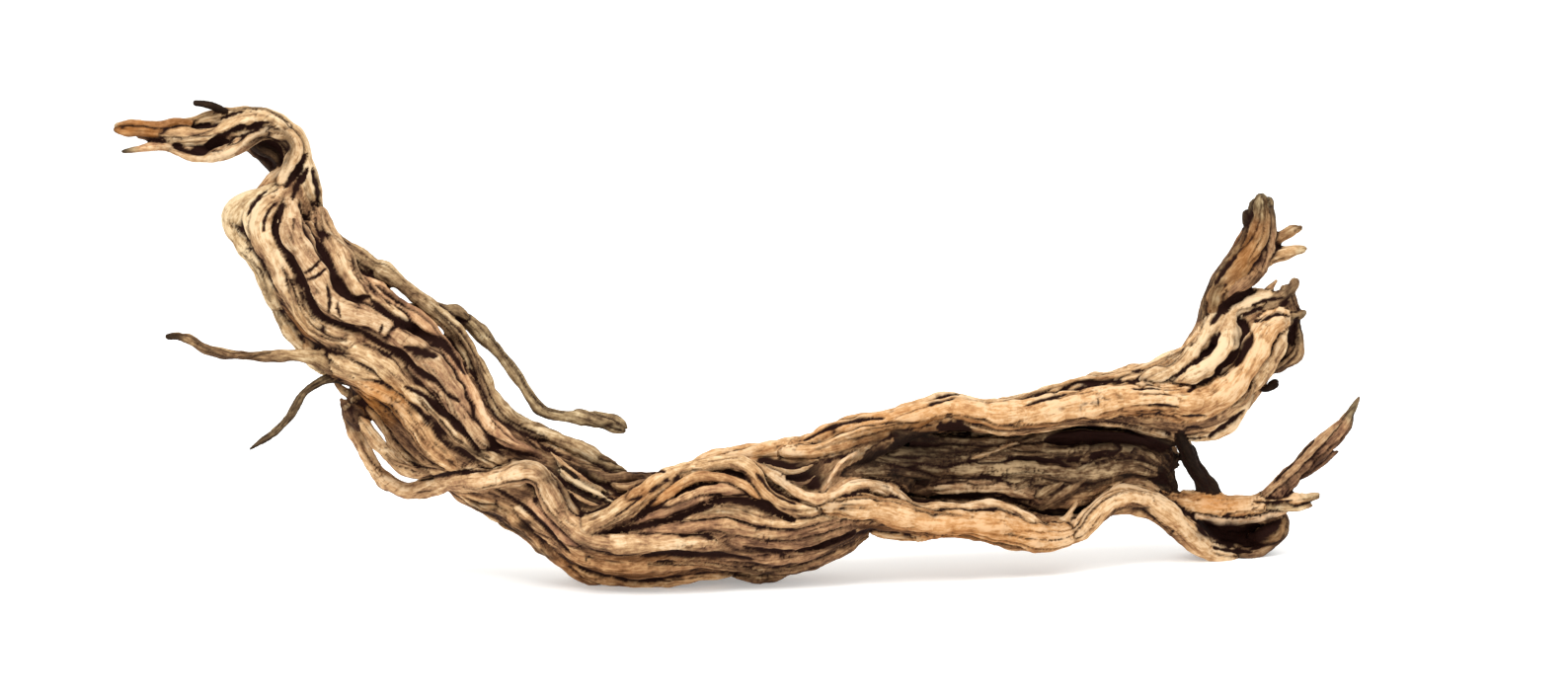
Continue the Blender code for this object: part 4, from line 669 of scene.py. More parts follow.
def frontDepth(across, up):
    # the foremost front face of the core ellipses that a place lies on: depth - half depth *
    # sqrt(1 - off^2); beside all cores, the depth of the nearest one's line
    faces, offs, lines = [], [], []
    for core in denseCores.values():
        far = np.hypot(core[:, 0] - across[:, None], core[:, 1] - up[:, None]) / core[:, 3]
        at, off = far.argmin(1), far.min(1)
        face = core[at, 2] - core[at, 4] * np.sqrt(1 - np.minimum(off, 1) ** 2)
        faces.append(np.where(off < seating["coreReach"], face, np.inf))
        offs.append(off)
        lines.append(core[at, 2])
    front = np.min(faces, 0)
    return np.where(np.isfinite(front), front, np.choose(np.argmin(offs, 0), lines))


def layOnCores(rows, proud):
    # a lying strand's rows with its depth: the cores' front, smoothed, plus its own sink
    rows = along(rows, seating["rowStep"])
    depth = frontDepth(rows[:, 0], rows[:, 1])
    padded = np.concatenate([depth[:1], depth, depth[-1:]])
    depth = (padded[:-2] + 2 * padded[1:-1] + padded[2:]) / 4
    return np.column_stack([rows, depth + rows[:, 2] * seating["sink"] - proud])


def buryEnds(rows, openEnd):
    # towards both ends, or the first alone, the radius shrinks and the depth grows by an eased step
    rows = along(rows, seating["stationStep"])
    run = summed(np.hypot(*np.diff(rows[:, :2], axis=0).T))
    length = min(seating["taper"], seating["taperShare"] * run[-1])
    share = np.clip(np.minimum(run, length if openEnd else run[-1] - run) / length, 0, 1)
    ease = share * share * (3 - 2 * share)
    rows[:, 3] += rows[:, 2] * seating["endSink"] * (1 - ease)
    rows[:, 2] *= seating["endRadius"] + (1 - seating["endRadius"]) * ease
    return rows


def framed(centres, halfA, halfB, name, kind):
    # a path with two directions square to its run: A across it, B into the depth
    run = np.gradient(centres, axis=0)
    run /= np.linalg.norm(run, axis=1)[:, None]
    a = np.cross(run, [0, 1, 0])
    a /= np.linalg.norm(a, axis=1)[:, None]
    return {"name": name, "kind": kind, "centres": centres, "run": run, "a": a, "b": np.cross(run, a),
            "halfA": halfA, "halfB": halfB,
            "length": summed(np.linalg.norm(np.diff(centres, axis=0), axis=1))}


irregular = {
    "swells": ((0.09, 23.0), (0.045, 9.7)),  # share of the radius, mm from one swell to the next
    "sections": ((0.1, 2, 17.0), (0.06, 3, -23.0)),  # share of the radius, lobes, mm per radian of turn
    "leastRadius": 2.2,  # mm: thinner strands stay round
    "spread": 0.618,  # sets each strand's waves going at another place
}


def phaseOf(name):
    # a start for the waves of each strand, from the letters of its name
    return sum(map(ord, name)) * irregular["spread"] % 1


def strandPath(name, rows):
    # the radius swells by a sum of sines along the run
    rows = along(rows, seating["stationStep"])
    run = np.arange(len(rows)) * seating["stationStep"]
    for share, wave in irregular["swells"]:
        rows[:, 2] *= 1 + share * np.sin(2 * math.pi * (run / wave + phaseOf(name) * wave))
    across, up, radius, depth = rows.T
    return framed(seenPoints(across, up, depth), radius, radius, name, "strand")


def corePath(name, rows):
    # a core's rows as a path with an oval section
    across, up, depth, halfWidth, halfDepth = rows.T
    return framed(seenPoints(across, up, depth), halfWidth, halfDepth, name, "core")


# Strands over the back, set by rule: each runs along a core at an angle round it.
backSide = {
    "rules": [  # core, first and last angle in degrees, number of strands
        ("trunk", 196, 344, 6), ("upper", 200, 340, 3), ("lower", 215, 325, 2), ("heart", 215, 325, 3)],
    "seed": 41,
    "step": 24.75,  # mm between the places where they are set
    "radius": 6.5, "sway": 0.22,  # mm, and radians to either side
    "swayWaves": 1.6,  # along the core
    "swell": (0.8, 0.25), "swellWaves": 2.3, "swellStart": 3,  # mean and swing of the radius
    "widest": 0.6,  # share of the core's half width
    "sink": 0.5,  # share of the radius that sinks in
    "fineEach": 2,  # finer strands beside each of the large ones
    "fineRadius": 2.6, "fineSway": 0.4, "fineTurn": 16,  # mm, radians, and degrees beside it
}


def backRows(rows, angle, wave, radius, sway):
    # along the back of a core at angle + sway * sine, with a thickness that swells
    rule = backSide
    rows = along(rows, rule["step"])
    run = np.gradient(rows[:, :2], axis=0)
    run /= np.hypot(*run.T)[:, None]
    share = np.linspace(0, 1, len(rows))
    turn = np.radians(angle) + sway * np.sin(2 * math.pi * (share * rule["swayWaves"] + wave))
    beat = np.sin(2 * math.pi * (share * rule["swellWaves"] + wave * rule["swellStart"]))
    thick = radius * (rule["swell"][0] + rule["swell"][1] * beat)
    thick = np.minimum(thick, rule["widest"] * rows[:, 3])
    out = (rows[:, 3] - rule["sink"] * thick) * np.cos(turn)
    back = -(rows[:, 4] - rule["sink"] * thick) * np.sin(turn)
    return np.column_stack([
        rows[:, 0] - run[:, 1] * out, rows[:, 1] + run[:, 0] * out, thick, rows[:, 2] + back])


def backPaths():
    # each rule's strands at even angles, then the finer ones at a random turn beside them
    rule, draw = backSide, np.random.default_rng(backSide["seed"])
    large = [(core, number, angle, draw.random()) for core, first, last, count in rule["rules"]
             for number, angle in enumerate(np.linspace(first, last, count))]
    made = []
    for core, number, angle, wave in large:
        rows = backRows(cores[core], angle, wave, rule["radius"], rule["sway"])
        made.append(strandPath(f"{core}Back{number}", rows))
    for core, number, angle, _ in large:
        for fine in range(rule["fineEach"]):
            turned = angle + draw.uniform(-rule["fineTurn"], rule["fineTurn"])
            rows = backRows(cores[core], turned, draw.random(), rule["fineRadius"], rule["fineSway"])
            made.append(strandPath(f"{core}BackFine{number}{fine}", rows))
    return made


raisedFibre = {
    "seed": 7,
    "leastRadius": 3.8, "leastLength": 50,  # mm: a strand as thick and as long carries one
    "start": (0, 0.5), "share": (0.35, 0.5),  # of the strand's run
    "side": (0.15, 0.85), "wander": 0.6, "waves": (0.6, 1.3),  # half turns, radians, waves along it
    "radius": (1.0, 1.7), "thin": 0.35,  # mm, and what is left of it at both ends
    "seat": 0.96,  # share of the strand's radius
}


def fibrePaths(paths):
    # a raised fibre: on its strand's skin at an angle that wanders slowly, thin at both ends
    fibre, draw = raisedFibre, np.random.default_rng(raisedFibre["seed"])
    made = []
    for path in paths:
        if path["halfA"].max() < fibre["leastRadius"] or path["length"][-1] < fibre["leastLength"]:
            continue
        start, share = draw.uniform(*fibre["start"]), draw.uniform(*fibre["share"])
        count = len(path["length"])
        part = slice(int(start * count), int((start + share) * count) + 2)
        t = np.linspace(0, 1, len(path["length"][part]))
        turn = draw.uniform(*fibre["side"]) * math.pi
        wander = draw.uniform(-fibre["wander"], fibre["wander"])
        turn += wander * np.sin(2 * math.pi * (t * draw.uniform(*fibre["waves"]) + draw.random()))
        side = path["a"][part] * np.cos(turn)[:, None] - np.outer(np.abs(np.sin(turn)), [0, 1, 0])
        radius = draw.uniform(*fibre["radius"]) * (fibre["thin"] + (1 - fibre["thin"]) * np.sin(math.pi * t))
        centres = path["centres"][part] + side * (path["halfA"][part] * fibre["seat"])[:, None]
        made.append(framed(centres, radius, radius, path["name"] + "Raised", "strand"))
    return made


tubes = {
    "coreSides": 36, "thickSides": 22, "thinSides": 14, "thick": 3.3,  # mm of radius
    # in radii: how far past its end a tube closes, its last ring, and the pole past that
    "closing": 0.45, "lastRing": 0.7, "pole": 0.25,
}


def tube(path, sides):
    # c + A * a * cos + B * b * sin round each station, times 1 + a few lobes that turn along
    # the run, closed by a smaller ring and a pole
    c, run, a, b = (path[key] for key in ("centres", "run", "a", "b"))
    halfA, halfB = path["halfA"], path["halfB"]
    first, last = (run[at] * min(halfA[at], halfB[at]) for at in (0, -1))
    c = np.vstack([c[0] - first * tubes["closing"], c, c[-1] + last * tubes["closing"]])
    grow = lambda v: np.concatenate([v[:1] * tubes["lastRing"], v, v[-1:] * tubes["lastRing"]])
    hold = lambda v: np.vstack([v[:1], v, v[-1:]])
    halfA, halfB, a, b = grow(halfA), grow(halfB), hold(a), hold(b)
    turn = np.linspace(0, 2 * math.pi, sides, endpoint=False)
    lobes = np.ones((len(c), sides))
    if path["kind"] == "strand" and path["halfA"].max() > irregular["leastRadius"]:
        length = hold(path["length"][:, None])
        for share, count, wave in irregular["sections"]:
            lobes += share * np.cos(count * turn + length / wave + phaseOf(path["name"]) * 2 * math.pi)
    rings = (c[:, None] + a[:, None] * (lobes * halfA[:, None] * np.cos(turn))[..., None]
             + b[:, None] * (lobes * halfB[:, None] * np.sin(turn))[..., None])
    poles = np.array([c[0] - first * tubes["pole"], c[-1] + last * tubes["pole"]])
    points = np.vstack([rings.reshape(-1, 3), poles])
    i, j = np.meshgrid(np.arange(len(c) - 1), np.arange(sides), indexing="ij")
    beside = (j + 1) % sides
    quads = np.stack([i * sides + j, i * sides + beside, (i + 1) * sides + beside,
                      (i + 1) * sides + j], -1)
    around = np.arange(sides)
    after, end = (around + 1) % sides, (len(c) - 1) * sides
    caps = np.vstack([
        np.column_stack([np.full(sides, len(points) - 2), after, around]),
        np.column_stack([np.full(sides, len(points) - 1), end + around, end + after])])
    return points, quads.reshape(-1, 4), caps


def voxelSkin(name, paths, voxel):
    # all tubes of a stretch in one mesh, and one voxel surface over them
    points, faces, base = [], [], 0
    for path in paths:
        kind = "thick" if path["halfA"].max() > tubes["thick"] else "thin"
        kind = "core" if path["kind"] == "core" else kind
        own, quads, caps = tube(path, tubes[kind + "Sides"])
        points.append(own)
        faces += (quads + base).tolist() + (caps + base).tolist()
        base += len(own)
    mesh = bpy.data.meshes.new(name + "Tubes")
    mesh.from_pydata((np.vstack(points) / 1000).tolist(), [], faces)
    bundle = bpy.data.objects.new(name + "Tubes", mesh)
    bpy.context.scene.collection.objects.link(bundle)
    voxels = bundle.modifiers.new("voxels", "REMESH")
    voxels.mode = "VOXEL"
    voxels.voxel_size = voxel / 1000
    bpy.context.view_layer.update()
    graph = bpy.context.evaluated_depsgraph_get()
    made = bpy.data.meshes.new_from_object(bundle.evaluated_get(graph))
    bpy.data.objects.remove(bundle)
    return made


def meshRows(items, key, width, kind=np.float32):
    # one value of each vertex, edge or face, as an array with a row for each
    flat = np.empty(len(items) * width, kind)
    items.foreach_get(key, flat)
    return flat.reshape(-1, width)


def movePoints(mesh, points):
    # the vertices set to points in millimetres
    mesh.vertices.foreach_set("co", (points / 1000).astype(np.float32).ravel())
    mesh.update()


def setAttribute(mesh, name, values):
    # a number or a vector for each vertex, which the finish reads by its name
    kind, key = ("FLOAT", "value") if values.ndim == 1 else ("FLOAT_VECTOR", "vector")
    layer = mesh.attributes.new(name, kind, "POINT")
    layer.data.foreach_set(key, values.astype(np.float32).ravel())


def smoothed(points, ends, passes, share=1.0):
    # each point moved by a share of the way to the mean of its neighbours, passes times
    a, b = ends
    count = np.bincount(a, minlength=len(points)) + np.bincount(b, minlength=len(points))
    for _ in range(passes):
        mean = np.stack([(np.bincount(a, points[b, k], len(points))
                          + np.bincount(b, points[a, k], len(points))) / count for k in range(3)], 1)
        points = points + (mean - points) * share
    return points


mixing = {"primes": (73856093, 19349663, 83492791), "seed": 2654435, "shift": 13, "last": 1274126177,
          "gain": 1.6}  # whole numbers that scramble a cell's place, and the noise's strength


def noise(points, seed):
    # gradient noise: eight corner slopes of the cell, blended by a fifth-power ease
    cell = np.floor(points).astype(np.int64)
    inner = points - cell
    ease = inner**3 * (inner * (inner * 6 - 15) + 10)
    total = np.zeros(len(points))
    for corner in np.ndindex(2, 2, 2):
        corner = np.array(corner)
        x, y, z = ((cell + corner) * np.array(mixing["primes"])).T
        h = x ^ y ^ z ^ (seed * mixing["seed"])
        h = ((h ^ (h >> mixing["shift"])) * mixing["last"]) & 0xffffffff
        slope = np.stack([(h >> k) & 1023 for k in (0, 10, 20)], 1) / 511.5 - 1  # ten bits for each
        weight = np.prod(np.where(corner == 1, ease, 1 - ease), 1)
        total += weight * ((inner - corner) * slope).sum(1)
    return total * mixing["gain"]


def stations(paths):
    # every path's stations in one table
    table = {key: np.concatenate([p[key] for p in paths])
             for key in ("centres", "run", "a", "halfA", "b", "length")}
    for key in ("centres", "halfA"):
        table[key] = table[key].astype(np.float32)
    table["owner"] = np.concatenate([np.full(len(p["length"]), n) for n, p in enumerate(paths)])
    return table


# mm: a slab's width along X and the first one's lead, how far past a slab strands and cores are
# looked for, and what counts as far
search = {"slab": 8.0, "lead": 0.1, "strands": 12.0, "cores": 40.0, "far": 50.0}


def nearestStrands(points, table, margin):
    # distance to a strand's skin = distance to its line - radius; the nearest strand, and
    # how much further off the second one is, slab by slab along X
    order = np.argsort(points[:, 0])
    sortedX = points[order, 0]
    x, slab = table["centres"][:, 0], search["slab"]
    at = np.zeros(len(points), int)
    first, second = np.full((2, len(points)), search["far"])
    for low in np.arange(sortedX[0] - search["lead"], sortedX[-1] + slab, slab):
        rows = order[np.searchsorted(sortedX, low):np.searchsorted(sortedX, low + slab)]
        near = np.nonzero((x > low - margin) & (x < low + slab + margin))[0]
        if len(rows) == 0 or len(near) == 0:
            continue
        p, c = points[rows].astype(np.float32), table["centres"][near]
        square = (p**2).sum(1)[:, None] + (c**2).sum(1)[None] - 2 * p @ c.T
        away = np.sqrt(np.maximum(square, 0)) - table["halfA"][near]
        best = away.argmin(1)
        at[rows] = near[best]
        first[rows] = away[np.arange(len(rows)), best]
        away[table["owner"][near][None] == table["owner"][near][best][:, None]] = search["far"]
        second[rows] = away.min(1)
    return at, first, second


grain = {
    "settle": (2, 0.5),  # passes and share of the smoothing that evens the voxels' steps
    # cell size across and along the grain in mm, and the noise's seed
    "cells": {"deep": (6.4, 44.0, 3), "fine": (2.6, 18.0, 5), "swell": (7.0, 20.0, 9),
              "flake": (4.8, 24.0, 19), "cross": (6.0, 2.4, 27)},
    "width": {"deep": 0.11, "fine": 0.16, "cross": 0.13},  # of a crack, as a share of the noise
    "cut": {"deep": 1.1, "fine": 0.34, "cross": 0.45, "crease": 0.9},  # mm
    "rise": {"swell": 0.7, "flake": 0.32, "knob": 0.75, "pebble": 0.3},  # mm
    "lumps": {"knob": (10.0, 11), "pebble": (4.2, 12)},  # cell size in mm and seed
    # where strands fuse and cracks open: cell size in mm, seed, mean and swing
    "patches": {"fused": (21.0, 17, 0.45, 1.2), "fine": (24.0, 13, 0.5, 1), "deep": (24.0, 29, 0.55, 1),
                "cross": (15.0, 33, -0.2, 2)},
    "flakeSlope": 7.0,
    "flakeLeft": 0.3, "lumpLeft": 0.35, "fusedMore": 0.45,  # in calm wood
    "thin": 4.5, "thinLeft": 0.25,  # mm of radius under which the grain is shallower, and its least
    "twist": 0.012,  # turns of the grain round a strand, radians per mm
    "least": 1.5,  # mm of radius, at least, round which it is read
    "apart": (3.7, 5.3, 1.9), "finishApart": (31.0, 17.0, 53.0), "coreOwner": 200,  # keep strands apart
    "creaseWidth": 0.9, "creaseReach": 1.5,  # mm: between two strands, and off the nearer one
    "fusePasses": 12, "fuseShare": 0.8,
}
rises = {
    # each goes from 0 to 1: where it starts, and over how much; below 0, it goes down
    "onCore": (1.0, 1.5), "onThread": (1.1, -0.6),  # mm off the nearest strand
    "fused": (2.4, 1.6), "thread": (3.2, -1.6), "thick": (1.8, 2.4),  # mm of radius
    "proud": (0, -0.6),  # mm below the mean
    "facing": (0.2, -0.4), "front": (0.5, -1), "under": (-0.1, -1),  # of the normal's y, y and z
}


def rising(value, key):
    # (value - start) / width, between 0 and 1
    start, width = rises[key]
    return np.clip((value - start) / width, 0, 1)


def grainPlaces(points, at, table):
    # (A part, B part) of the way from the line, set to the radius and turned with the
    # strand's twist, and the length along it; each strand reads its own part of the noise
    off = points - table["centres"][at]
    u, v = (off * table["a"][at]).sum(1), (off * table["b"][at]).sum(1)
    s = table["length"][at] + (off * table["run"][at]).sum(1)
    owner = table["owner"][at]
    turn = np.arctan2(v, u) + s * grain["twist"] * np.where(owner % 2 == 0, 1, -1)
    reach = np.maximum(table["halfA"][at], grain["least"])
    return np.stack([reach * np.cos(turn), reach * np.sin(turn), s], 1), owner


def grainNoise(spots, kind):
    # noise over cells that are long with the grain, each strand on its own part of it
    across, length, seed = grain["cells"][kind]
    own = np.outer(spots["grainOwner"], grain["apart"])
    return noise(spots["places"] / np.array([across, across, length]) + own, seed)


def patches(points, kind, more=0):
    # mean + swing * noise, between 0 and 1
    cell, seed, mean, swing = grain["patches"][kind]
    return np.clip(mean + swing * noise(points / cell, seed) + more, 0, 1)


def stainMarks(kinds, points, seen, front):
    # for each stain the greatest of strength * exp(-(distance in half sizes)^3), edges wandering
    across, up = (place + stainEdge["reach"] * noise(points / stainEdge["size"], seed)
                  for place, seed in zip(seen, stainEdge["seeds"]))
    marks = {}
    for kind in kinds:
        marks[kind] = np.zeros(len(points))
        for px, py, wide, high, much, *allRound in stains[kind]:
            far = ((across - px) / wide) ** 2 + ((up - py) / high) ** 2
            mark = much * np.exp(-far ** stainEdge["fall"]) * (1 if allRound else front)
            marks[kind] = np.maximum(marks[kind], mark)
    return marks


def lineMarks(across, up):
    # for each bold groove, a bell of the distance to it whose width swells and dies at its ends
    line, cut = np.zeros((2, len(across)))
    shape, margin = lineShape, lineShape["margin"]
    for wide, deep, rows in darkLines:
        dense = along(rows, shape["step"])
        (left, low), (right, high) = np.min(rows, 0) - margin, np.max(rows, 0) + margin
        inside = np.nonzero((across > left) & (across < right) & (up > low) & (up < high))[0]
        if len(inside) == 0:
            continue
        share = np.linspace(0, 1, len(dense))
        swell = wide * (shape["ends"] + shape["middle"] * np.sin(math.pi * share) ** 0.5)
        swell *= 1 + shape["ripple"] * np.sin(share * shape["ripples"])
        far = np.hypot(across[inside, None] - dense[:, 0], up[inside, None] - dense[:, 1])
        bell = np.exp(-(far.min(1) / swell[far.argmin(1)]) ** shape["edge"])
        line[inside] = np.maximum(line[inside], bell)
        cut[inside] = np.maximum(cut[inside], bell * deep)
    return line, cut


def spotFacts(points, table, coreTable, looks):
    # for every point: its nearest strand's facts, its place in the grain, and how rough it is
    at, away, secondAway = nearestStrands(points, table, search["strands"])
    coreAt, _, _ = nearestStrands(points, coreTable, search["cores"])
    places, owner = grainPlaces(points, at, table)
    corePlaces, coreOwner = grainPlaces(points, coreAt, coreTable)
    onCore = rising(away, "onCore")
    bare = onCore > 0.5
    calm = stainMarks(["calm"], points, seenPlaces(points), 1)["calm"]
    spots = {key: values[owner] for key, values in looks.items()}
    spots["taken"] = 1 - (1 - spots["taken"]) * rising(away, "onThread")
    return spots | {
        "away": away, "gap": secondAway - away, "onCore": onCore, "rough": 1 - calm,
        "places": np.where(bare[:, None], corePlaces, places),
        "grainOwner": np.where(bare, coreOwner + grain["coreOwner"], owner),
        "radius": table["halfA"][at],
        "small": np.clip(table["halfA"][at] / grain["thin"], grain["thinLeft"], 1)}


def fuse(points, ends, spots):
    # strands grow together in patches, by a share of the way to the smoothed skin; where they
    # don't, a crease runs between them: exp(-(gap / width)^2)
    more = grain["fusedMore"] * (1 - spots["rough"])
    fused = patches(points, "fused", more) * rising(spots["radius"], "fused")
    crease = np.exp(-(spots["gap"] / grain["creaseWidth"]) ** 2) * (1 - fused)
    crease *= np.abs(spots["away"]) < grain["creaseReach"]
    blended = smoothed(points, ends, grain["fusePasses"])
    return points + (blended - points) * fused[:, None] * grain["fuseShare"], crease


def carve(points, normals, seen, spots, crease):
    # every point moves along its normal: swells, flakes and lumps less cracks, creases and the
    # bold grooves; a crack follows the noise's zero lines, exp(-(noise / width)^2), in patches
    cut, rise, rough = grain["cut"], grain["rise"], spots["rough"]
    cuts = {"crease": crease}
    for kind, width in grain["width"].items():
        cuts[kind] = np.exp(-(grainNoise(spots, kind) / width) ** 2) * patches(points, kind)
    cuts["deep"] *= rough
    flake = np.tanh(grainNoise(spots, "flake") * grain["flakeSlope"])
    flake *= (grain["flakeLeft"] + (1 - grain["flakeLeft"]) * rough) * (1 + spots["heart"])
    lumps = sum(rise[kind] * noise(points / cell, seed) for kind, (cell, seed) in grain["lumps"].items())
    lumps *= grain["lumpLeft"] + (1 - grain["lumpLeft"]) * rough
    height = rise["swell"] * grainNoise(spots, "swell") + rise["flake"] * flake + lumps
    height -= sum(cut[kind] * values for kind, values in cuts.items())
    facing = rising(normals[:, 1], "facing")
    cuts["line"], lineCut = lineMarks(*seen)
    points = points + normals * (height * spots["small"] - lineCut * facing)[:, None]
    points[:, 2] = np.maximum(points[:, 2], 0)
    cuts["line"] *= facing * spots["taken"]
    cuts["deep"] *= spots["small"]
    return points, cuts


shade = {
    # painted shade in recesses: passes of smoothing, how far below that mean a spot is dark
    # in mm, and how dark
    "widths": ((3, 0.2, 0.4), (10, 0.6, 0.55), (30, 1.4, 0.65)),
    # painted shade in creases, cracks and bold grooves, and on the bare cores between strands
    "cuts": {"crease": 0.48, "deep": 0.42, "cross": 0.34, "line": 1.2}, "core": 0.3,  # how dark
    # a painted highlight where a spot stands proud, more in the heart; the soot thins there
    "proud": 0.2, "heartProudHighlight": 0.15, "bareProud": 0.55, "bareHeart": 0.75,
    # painted shade: the undersides darken by the first, the bare cores' tone by the second
    "under": 0.3, "coreShadeTone": 0.2, "palest": 1.2,
}


def shadeOf(points, ends, normals, spots, cuts):
    # the painted shade of a spot's groove: how far it lies below the mean of its surroundings, at
    # three widths, plus its creases, cracks and bold grooves; and how proud it stands of the middle
    # mean, which gets a painted highlight
    mean, sunk = points, []
    for passes, _, _ in shade["widths"]:
        mean = smoothed(mean, ends, passes)
        sunk.append(((mean - points) * normals).sum(1))
    lit = 1 - (1 - spots["taken"]) * rising(spots["radius"], "thread")
    grooveShade = lit * sum(np.clip(low / full, 0, 1) * dark
                       for low, (_, full, dark) in zip(sunk, shade["widths"]))
    grooveShade += sum(dark * cuts[kind] for kind, dark in shade["cuts"].items())
    # the bare cores between strands get painted shade
    grooveShade += shade["core"] * spots["onCore"]
    return grooveShade, rising(sunk[1], "proud") * rising(spots["radius"], "thick")


def woodSkin(name, paths, voxel, table, coreTable, looks):
    # a stretch's piece: voxel skin, fused and carved, with what the finish reads at each vertex
    mesh = voxelSkin(name, paths, voxel)
    ends = meshRows(mesh.edges, "vertices", 2, np.int32).T
    points = smoothed(meshRows(mesh.vertices, "co", 3).astype(float) * 1000, ends, *grain["settle"])
    spots = spotFacts(points, table, coreTable, looks)
    points, crease = fuse(points, ends, spots)
    movePoints(mesh, points)
    normals = meshRows(mesh.vertex_normals, "vector", 3).astype(float)
    seen = seenPlaces(points)
    points, cuts = carve(points, normals, seen, spots, crease)
    movePoints(mesh, points)

    # the groove value is painted shade in recesses, creases, cracks and bold grooves
    grooveShade, proud = shadeOf(points, ends, normals, spots, cuts)
    marks = stainMarks(stains, points, seen, rising(normals[:, 1], "front"))
    marks = {kind: mark * spots["taken"] for kind, mark in marks.items()}
    heart, offCore = spots["heart"], 1 - spots["onCore"]
    # tone: painted highlight where proud, painted shade on undersides and bare cores
    tone = (spots["tone"] - shade["coreShadeTone"] * spots["onCore"] + shade["proud"] * proud
            + shade["heartProudHighlight"] * proud * heart - shade["under"] * rising(normals[:, 2], "under")
            + marks["pale"])
    pink = spots["pink"] * offCore
    # soot, real dirt and painted shade together, thins where the wood stands proud, less in the heart
    bare = shade["bareProud"] * proud * (1 - shade["bareHeart"] * heart)
    sootAndShade = np.maximum(marks["sootAndShade"] * (1 - bare), spots["sootAndShade"] * offCore)
    own = np.outer(spots["grainOwner"], grain["finishApart"])
    for key, values in {
            "grainPlace": spots["places"] + own, "tone": np.clip(tone, 0, shade["palest"]),
            "pinkness": pink + (-1 - pink) * marks["orange"], "grooveShade": np.clip(grooveShade, 0, 1),
            "sootAndShade": np.clip(sootAndShade, 0, 1), "heartwood": heart,
            "greyness": np.maximum(spots["grey"] * offCore, marks["grey"])}.items():
        setAttribute(mesh, key, values)

    piece = bpy.data.objects.new(name, mesh)
    bpy.context.scene.collection.objects.link(piece)
    mesh.shade_smooth()
    corners = meshRows(mesh.polygons, "loop_total", 1, np.int32)
    print(name, "has", int((corners - 2).sum()), "triangles")
    return piece


# Each piece's voxel size in mm, its cores with where they start and stop across, and its strands.
stretches = {
    "hook": {
        "voxel": 0.9,
        "cores": [("hook", -400, 400), ("trunk", -400, -215)],
        "strands": ["hook"],
    },
    "arm": {
        "voxel": 0.96,
        "cores": [("trunk", -400, -72)],
        "strands": ["shoulder", "pod", "armRight", "edge", "armLower", "armKnot", "armEdge", "loopInner",
                    "leftRoot", "rootCollar", "sideShoot", "shootKnuckle"],
    },
    "back": {
        "voxel": 1.2,
        "cores": [("trunk", -135, 400)],
        "strands": ["trunkBack"],
    },
    "belly": {
        "voxel": 0.92,
        "cores": [("trunk", -110, 400)],
        "strands": ["loop", "belly", "arch", "underArch", "pocket", "cupRim"],
    },
    "hollow": {
        "voxel": 1.0,
        "cores": [("upper", -400, 228), ("lower", -400, 205)],
        "strands": ["lowerLip", "lipLow", "pocketRim", "topMass", "lipTop", "lipUnder", "cupThread",
                    "paleTie", "notchTie", "fibreTie", "upperBack", "lowerBack"],
    },
    "heart": {
        "voxel": 0.95,
        "cores": [("heart", -400, 400)],
        "strands": ["heart"],
    },
    "fork": {
        "voxel": 0.92,
        "cores": [("upper", 190, 400), ("lower", 170, 400), ("backLimb", -400, 400)],
        "strands": ["foot", "fork", "limb", "plank", "spike", "strut"],
    },
}


def stretchOf(name):
    # a strand belongs to the stretch that lists the longest beginning of its name
    best = max((len(start), key) for key, stretch in stretches.items()
               for start in stretch["strands"] if name.startswith(start))
    return best[1]


def coreStretch(name, low, high):
    # the part of a core between two places across
    rows = denseCores[name]
    return corePath(name, rows[(rows[:, 0] > low) & (rows[:, 0] < high)])


look = {
    "usual": (0.66, 0.1), "usualHeart": (0.55,),  # where strandLooks has no row
    "seed": 23, "jitter": 0.09,  # of the tone, either way
    # share of the hollow's look, where it isn't the whole
    "hearts": {"heartLow": 0.45, "heartFibreHigh": 0.7, "heartFibreLow": 0.6},
    "pale": ("pocketThread", "pocketSmall", "pocketCross", "pocketLow", "pocketRim", "cupThread",
             "paleTie", "footCrumb", "notchTie", "heartFibre"),
    "paleStain": 0.2,  # share of the stains that these take
}


def strandFacts(paths):
    # each path's look; a raised fibre takes its strand's, and one named for the heart takes the hollow's
    # look
    draw = np.random.default_rng(look["seed"])
    rows = []
    for path in paths:
        base = path["name"].removesuffix("Raised")
        heart = look["hearts"].get(base, float(base.startswith("heart") and "Back" not in base))
        row = strandLooks.get(base, look["usualHeart" if heart else "usual"])
        tone, pink, sootAndShade, grey = (*row, 0, 0, 0)[:4]
        taken = look["paleStain"] if base.startswith(look["pale"]) else 1.0
        rows.append((tone + draw.uniform(-1, 1) * look["jitter"], pink, sootAndShade, grey, heart, taken))
    return dict(zip(("tone", "pink", "sootAndShade", "grey", "heart", "taken"), np.array(rows).T))


laid = [strandPath(name, buryEnds(layOnCores(rows, proud), name in seating["openEnds"]))
        for name, (proud, rows) in lyingStrands.items()]
free = [strandPath(name, rows) for name, rows in freeStrands.items()]
everyStrand = laid + free + backPaths() + fibrePaths(laid + free)
print(len(everyStrand), "strands,", sum(len(p["length"]) for p in everyStrand), "stations")


def linear(code):
    # sRGB hex to linear light
    values = [int(code[k:k + 2], 16) / 255 for k in (1, 3, 5)]
    return tuple(v / 12.92 if v <= 0.04045 else ((v + 0.055) / 1.055) ** 2.4 for v in values) + (1.0,)


def addNode(tree, kind, inputs, out=0, **settings):
    # a node with its settings; an input is linked to another node's output or set to a value
    node = tree.nodes.new("ShaderNode" + kind)
    for key, value in settings.items():
        setattr(node, key, value)
    for key, value in inputs.items():
        if isinstance(value, bpy.types.NodeSocket):
            tree.links.new(value, node.inputs[key])
        else:
            node.inputs[key].default_value = value
    return node.outputs[out]


